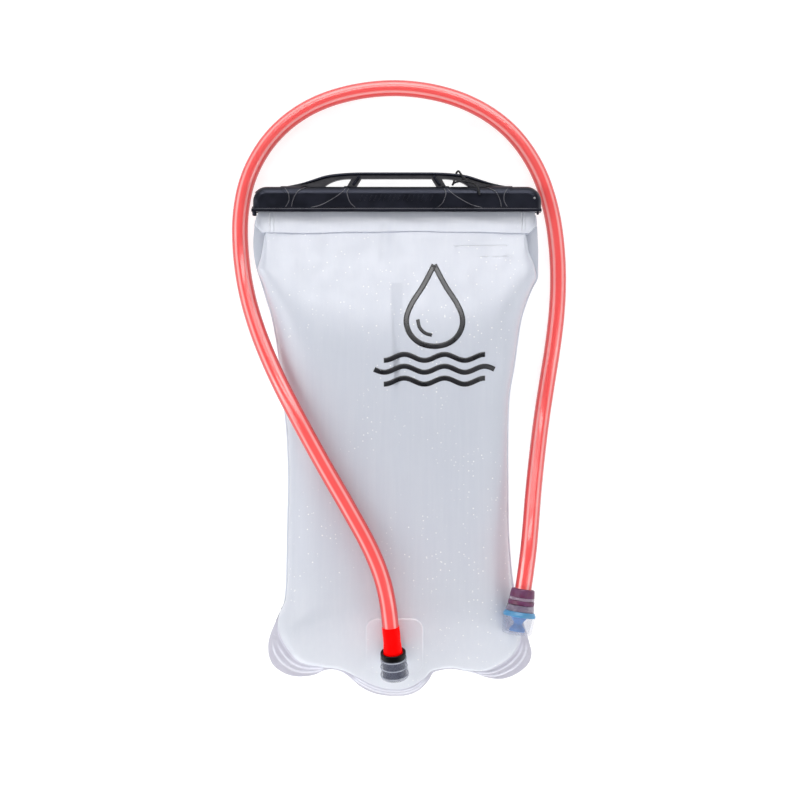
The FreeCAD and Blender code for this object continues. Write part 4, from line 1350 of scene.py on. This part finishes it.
        mesh = bmesh.new()
        add_rings(mesh, outline, spine, 60, lift)
        face_up(mesh, True)
        layer = mesh.verts.layers.float.new("weld")
        spots = np.array([vert.co[:2] for vert in mesh.verts]) / MM
        gaps = distance_to(outline, spots[:, 0], spots[:, 1])
        fades = smooth_step(spots[:, 1], -150, -130)
        halo = 0.75 * np.exp(-(np.hypot((spots[:, 0] + 1) / 11, (spots[:, 1] + 150) / 15)) ** 4)
        lines = 0.75 * np.exp(-((gaps - 0.8) / 0.55) ** 2) * fades * self.rim_share(spots[:, 0])
        for vert, share in zip(mesh.verts, np.minimum(lines + halo, 1)):
            vert[layer] = float(share)
        make_piece(mesh, "port_weld_patch", [Finishes.PATCH], Body.BAG, Slot.FLANGE,
                   ["port_flange"], crease=60, wall=0.5)

    def build(self) -> None:
        """Make every piece of the bag."""
        self.build_panels()
        self.build_gussets()
        self.build_mouth()
        self.build_marks()
        self.build_print()
        self.build_patch()
        for node in ("mouth_rail_front", "mouth_rail_rear"):
            dress(node, Finishes.RAIL)


# ---------------------------------------------------------------- slide closure

@dataclass
class SlideClosure:
    """The black closure: its bar, its handle and straps, and the small details on them."""

    seam: float = 23.5
    base: float = 142.3
    depth: float = 16.1
    lip: float = 1.8
    lip_half: float = 7.8
    half: float = 7.2
    edge: float = 5.0
    skin: float = 0.5
    bead: float = 0.28
    arch_half: float = 2.6
    ridge: float = 1.0
    edges: tuple = (
        ((71.7, 157.8), (69.2, 154.5), (68.4, 151.3), (68.9, 148.1), (70.8, 144.9)),
        ((57.5, 158.0), (62.5, 155.5), (64.8, 152.3), (66.2, 148.8), (66.9, 144.9)),
        ((30.1, 157.3), (31.5, 154.5), (30.8, 150.9), (29.1, 147.4), (26, 144.7)),
        ((31.9, 157.7), (34, 155.2), (37.6, 152.3), (43.3, 148.8), (49, 146.1), (54.7, 144.7)))

    def bar_top(self, along: Array) -> Array:
        """The bar's front face over the seam, at places up the bar."""
        start = self.base + self.depth - self.edge
        rise = np.clip(along - start, 0, self.edge)
        return self.half - self.edge + np.sqrt(np.clip(self.edge ** 2 - rise ** 2, 0, None))

    def build_bar(self) -> None:
        """Make the bar from the CAD channel, with smooth shading."""
        mesh = cad_copy("slider_channel")
        make_piece(mesh, "slider_bar", [Finishes.CLOSURE], Body.CLOSURE, Slot.CLOSURE,
                   ["slider_channel"], crease=32)

    def build_handle(self) -> None:
        """Make the handle and its straps from the CAD handle, with softened edges."""
        mesh = cad_copy("slider_handle")
        bmesh.ops.dissolve_limit(mesh, angle_limit=math.radians(0.5), verts=mesh.verts[:],
                                 edges=mesh.edges[:], use_dissolve_boundaries=False)
        # Painted light: the arch's flat upward and downward faces get the lighter black.
        for face in mesh.faces:
            middle = face.calc_center_median() / MM
            if middle.y > 159.2 and abs(face.normal.z) > 0.9:
                face.material_index = 1
        handle = make_piece(mesh, "slider_handle_arch", [Finishes.CLOSURE, Finishes.ARCH],
                            Body.CLOSURE, Slot.CLOSURE, ["slider_handle"], crease=32)
        soft = handle.modifiers.new("soft_edges", "BEVEL")
        soft.width = 0.3 * MM
        soft.segments = 2
        soft.limit_method = "ANGLE"
        soft.angle_limit = math.radians(50)
        soft.use_clamp_overlap = True

    def build_beads(self) -> None:
        """Make the fine raised beads along the straps' edges, front and back, in the painted
        highlight grey.
        """
        mesh = bmesh.new()
        for points in self.edges:
            line = smooth_line(points, 8)
            for mirror in (1.0, -1.0):
                for face in (1.0, -1.0):
                    height = self.seam + face * (self.bar_top(line[:, 1]) + self.skin - 0.08)
                    path = np.column_stack([line[:, 0] * mirror, line[:, 1], height])
                    add_round(mesh, path, self.bead, 40)
        bmesh.ops.recalc_face_normals(mesh, faces=mesh.faces[:])
        make_piece(mesh, "strap_highlight_beads", [Finishes.EDGE_HIGHLIGHT], Body.CLOSURE, Slot.CLOSURE, crease=60)

    def build_ridges(self) -> None:
        """Make the rounded ridges over the arch and its struts, and the painted highlight lines on
        the lip.
        """
        black, light = bmesh.new(), bmesh.new()
        right = smooth_line([(0, 166.6), (12, 166.6), (25, 166.55), (34.9, 166.05),
                             (44.7, 164.75), (54.5, 161.8), (62, 159.75)], 8)
        arch = np.vstack([right[::-1] * (-1, 1), right[1:]])
        strut = smooth_line([(23.4, 165.6), (25.6, 162.4), (28.0, 159.2)], 8)
        for face in (1.0, -1.0):
            level = self.seam + face * (self.arch_half - 0.1)
            for line in (arch, strut, strut * (-1, 1)):
                path = np.column_stack([line, np.full(len(line), level)])
                add_round(black, path, self.ridge, max(60, len(line)), 12)
            along = np.linspace(-90.6, 90.6, 40)
            path = np.column_stack([along, np.full(40, self.base + self.lip),
                                    np.full(40, self.seam + face * (self.lip_half - 0.12))])
            add_round(light, path, 0.22, 120)
        for mesh, name, finish in ((black, "arch_ridges", Finishes.CLOSURE),
                                   (light, "lip_highlight_lines", Finishes.EDGE_HIGHLIGHT)):
            bmesh.ops.recalc_face_normals(mesh, faces=mesh.faces[:])
            make_piece(mesh, name, [finish], Body.CLOSURE, Slot.CLOSURE, crease=60)

    def build_ribs(self) -> None:
        """Make the slanted grip ribs in the middle of the bar."""
        mesh = bmesh.new()
        for step in np.linspace(-22.5, 22.5, 16):
            path = np.column_stack([
                np.linspace(step - 0.9, step + 0.9, 9), np.linspace(148.8, 153.0, 9),
                np.full(9, self.seam + self.half - 0.02)])
            add_round(mesh, path, 0.3, 10)
        bmesh.ops.recalc_face_normals(mesh, faces=mesh.faces[:])
        make_piece(mesh, "grip_ribs", [Finishes.CLOSURE], Body.CLOSURE, Slot.CLOSURE, crease=60)

    def build_hooks(self) -> None:
        """Make the small catches below the bar's two ends, and the pin at the right end."""
        mesh = bmesh.new()
        for across, low, wide in ((-91.1, 139.4, 1.4), (90.6, 140.2, 0.8)):
            path = np.column_stack([
                np.full(12, across) + 0.5 * np.sin(np.linspace(0, 2.2, 12)) * np.sign(-across),
                np.linspace(143.5, low, 12), np.full(12, self.seam + 5.0)])
            add_round(mesh, path, wide, 16, 14)
        bmesh.ops.recalc_face_normals(mesh, faces=mesh.faces[:])
        make_piece(mesh, "end_catches", [Finishes.CLOSURE], Body.CLOSURE, Slot.CLOSURE,
                   crease=60)
        place = Matrix.Translation(Vector((88.0, 150.7, self.seam + self.half - 0.6)) * MM)
        pin = turned([(0, 0), (0.75, 0), (0.75, 0.75), (0, 0.75)], place, 0.2, 32)
        make_piece(pin, "end_pin", [Finishes.STEEL], Body.CLOSURE, Slot.CLOSURE)

    def build(self) -> None:
        """Make every piece of the closure."""
        self.build_bar()
        self.build_handle()
        self.build_beads()
        self.build_ridges()
        self.build_ribs()
        self.build_hooks()


# ---------------------------------------------------------------- outlet and plug

@dataclass
class Outlet:
    """The ribbed socket, the plug's collar, and what is inside."""

    start: tuple = (-2.2, -136.47, 48.17)
    ahead: tuple = (-3.67, -117.05, 56.02)
    slope: float = 22.0
    top: float = -3.9
    end: float = -18.3
    top_radius: float = 8.0
    end_radius: float = 8.8
    rib_proud: float = 0.35
    ribs: tuple = (-4.5, -10.1, -15.7)

    def place(self) -> Matrix:
        """Z along the plug towards the tube, Y into the bag."""
        lean = math.radians(self.slope)
        into_bag = Vector((0, math.sin(lean), -math.cos(lean)))
        return frame_along(Vector(self.start), Vector(self.ahead), into_bag)

    def radius(self, height: float) -> float:
        """The socket's radius at a height."""
        share = (height - self.top) / (self.end - self.top)
        return self.top_radius + (self.end_radius - self.top_radius) * share

    def build_socket(self) -> None:
        """Make the see-through socket wall, its ribs, its dark sleeve and its saddle."""
        place = self.place()
        wall = [(6.3, self.top), (self.top_radius, self.top), (self.end_radius, self.end + 1.2),
                (self.end_radius - 1.4, self.end), (0, self.end), (0, self.end + 1.5),
                (6.3, self.end + 1.5)]
        make_piece(turned(wall, place, 0.4), "port_socket", [Finishes.SMOKE], Body.BAG,
                   Slot.SMOKE, ["port_body"])
        ribs = bmesh.new()
        for height in self.ribs:
            inner = self.radius(height) - 0.3
            outer = self.radius(height) + self.rib_proud
            rib = turned([(inner, height + 0.42), (outer, height + 0.3), (outer, height - 0.3),
                          (inner, height - 0.42)], place, 0.2)
            copy = bpy.data.meshes.new("rib")
            rib.to_mesh(copy)
            rib.free()
            ribs.from_mesh(copy)
            bpy.data.meshes.remove(copy)
        make_piece(ribs, "port_ribs", [Finishes.RIB], Body.BAG, Slot.SMOKE)
        sleeve = [(5.95, self.top - 0.1), (6.9, self.top - 0.1), (7.6, self.end + 1.3),
                  (5.95, self.end + 1.3)]
        make_piece(turned(sleeve, place, 0.0), "port_sleeve", [Finishes.SLEEVE], Body.BAG,
                   Slot.SMOKE)
        saddle = bmesh.new()
        bmesh.ops.create_cube(saddle, size=1.0)
        bmesh.ops.transform(saddle, verts=saddle.verts[:], matrix=Matrix.Diagonal(
            (14.0 * MM, 7.0 * MM, 12.5 * MM, 1.0)))
        bmesh.ops.bevel(saddle, geom=saddle.edges[:], offset=2.0 * MM, offset_type="OFFSET",
                        segments=4, profile=0.5, affect="EDGES", material=-1,
                        clamp_overlap=True)
        bmesh.ops.transform(saddle, verts=saddle.verts[:], matrix=place @ Matrix.Translation(
            Vector((0, 8.3, -11.5)) * MM))
        make_piece(saddle, "port_saddle", [Finishes.PATCH], Body.BAG, Slot.FLANGE)

    def build_plug(self) -> list[bpy.types.Object]:
        """Make the collar and the flared root of the tube.

        Returns:
            The pieces that are on the tube.
        """
        place = self.place()
        collar = [(4.4, -3.7), (8.0, -3.7), (8.05, -1.2), (7.9, 0.15), (6.5, 0.15), (6.2, -1.0),
                  (4.4, -1.0)]
        ring = make_piece(turned(collar, place, 0.35), "plug_collar_black", [Finishes.COLLAR],
                          Body.DRINK_LINE, Slot.BLACK, ["plug_collar"])
        flare = [(3.3, -0.9), (6.05, -0.9), (5.95, 0.6), (5.5, 6.5), (5.2, 8.5), (3.3, 8.5)]
        root = make_piece(turned(flare, place, 0.15), "tube_flare", [Finishes.TUBE_END],
                          Body.DRINK_LINE, Slot.TUBE)
        dress("plug_body", Finishes.COLLAR)
        dress("plug_oring", Finishes.SEAL)
        return [ring, root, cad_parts["plug_body"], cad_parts["plug_oring"]]

    def build(self) -> list[bpy.types.Object]:
        """Make the outlet, and return what is on the tube."""
        self.build_socket()
        for node, finish in (("latch_ring", Finishes.STEEL), ("valve_seat", Finishes.SEAL),
                             ("check_spring", Finishes.STEEL),
                             ("check_valve_poppet", Finishes.POPPET)):
            dress(node, finish)
        return self.build_plug()


# ---------------------------------------------------------------- bite valve

@dataclass
class BiteValve:
    """The bite valve on the tube's far end, its heights from the tube's end face."""

    start: tuple = (79.9, -96.8, 47.4)
    before: tuple = (82.8, -77.52, 47.4)
    parts: tuple = (
        ("valve_cuff", "valve_body", "PURPLE", Body.DRINK_LINE, Slot.PURPLE, 0.5, (
            (3.1, -3.0), (3.1, 0.0), (6.6, 0.0), (7.4, 0.7), (8.0, 5.4), (6.3, 5.4),
            (6.3, 7.4), (8.2, 7.4), (8.4, 10.2), (4.6, 10.2), (4.4, 15.8), (2.2, 15.8),
            (2.2, -3.0))),
        ("valve_clear_band", "valve_band", "BAND", Body.DRINK_LINE, Slot.CLEAR, 0.3, (
            (6.35, 5.45), (7.95, 5.45), (8.1, 7.35), (6.35, 7.35))),
        ("twist_clear_collar", "twist_collar", "HAZE", Body.VALVE_HEAD, Slot.CLEAR, 0.3, (
            (5.15, 10.4), (8.5, 10.4), (8.9, 14.4), (5.15, 14.4))),
        ("twist_blue_ring", "twist_ring", "BLUE", Body.VALVE_HEAD, Slot.BLUE, 0.3, (
            (5.15, 14.4), (9.3, 14.4), (10.3, 16.2), (10.35, 17.6), (5.15, 17.6))),
        ("valve_blue_core", "valve_core", "CORE", Body.VALVE_HEAD, Slot.BLUE, 0.3, (
            (1.5, 17.6), (5.3, 17.6), (4.5, 19.2), (2.9, 21.4), (2.75, 22.2), (3.2, 23.4),
            (4.9, 25.2), (5.2, 27.1), (1.5, 27.1))))

    def place(self) -> Matrix:
        """Z along the valve away from the tube, Y down."""
        last = Vector(self.start)
        return frame_along(last, last + last - Vector(self.before), Vector((0, 0, -1)))

    def build(self) -> list[bpy.types.Object]:
        """Make the valve.

        Returns:
            The pieces that are on the tube.
        """
        place = self.place()
        made = []
        for name, node, finish, body, slot, bevel, corners in self.parts:
            mesh = turned(corners, place, bevel)
            made.append(make_piece(mesh, name, [getattr(Finishes, finish)], body, slot, [node]))
        made.append(make_piece(cad_copy("bite_sheath"), "bite_clear_sheath", [Finishes.CLEAR],
                               Body.VALVE_HEAD, Slot.CLEAR, ["bite_sheath"], crease=40))
        dress("stem_oring", Finishes.PURPLE)
        made.append(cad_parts["stem_oring"])
        return made


# ---------------------------------------------------------------- the whole object

def main() -> None:
    """Build the camera and cords, then every sub-assembly in order."""
    logging.basicConfig(level=logging.INFO, format="%(message)s")
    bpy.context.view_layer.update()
    studio = Studio()
    studio.place_camera()
    drink_tube = DrinkTube()
    tube = drink_tube.build_tube()
    end = drink_tube.build_end()
    bore = drink_tube.build_bore()
    drink_tube.build_tether()
    on_tube = Outlet().build() + BiteValve().build()
    drink_tube.declare()
    FilmBag().build()
    SlideClosure().build()
    studio.lay_floor()
    studio.light()


if __name__ == "__main__":
    main()
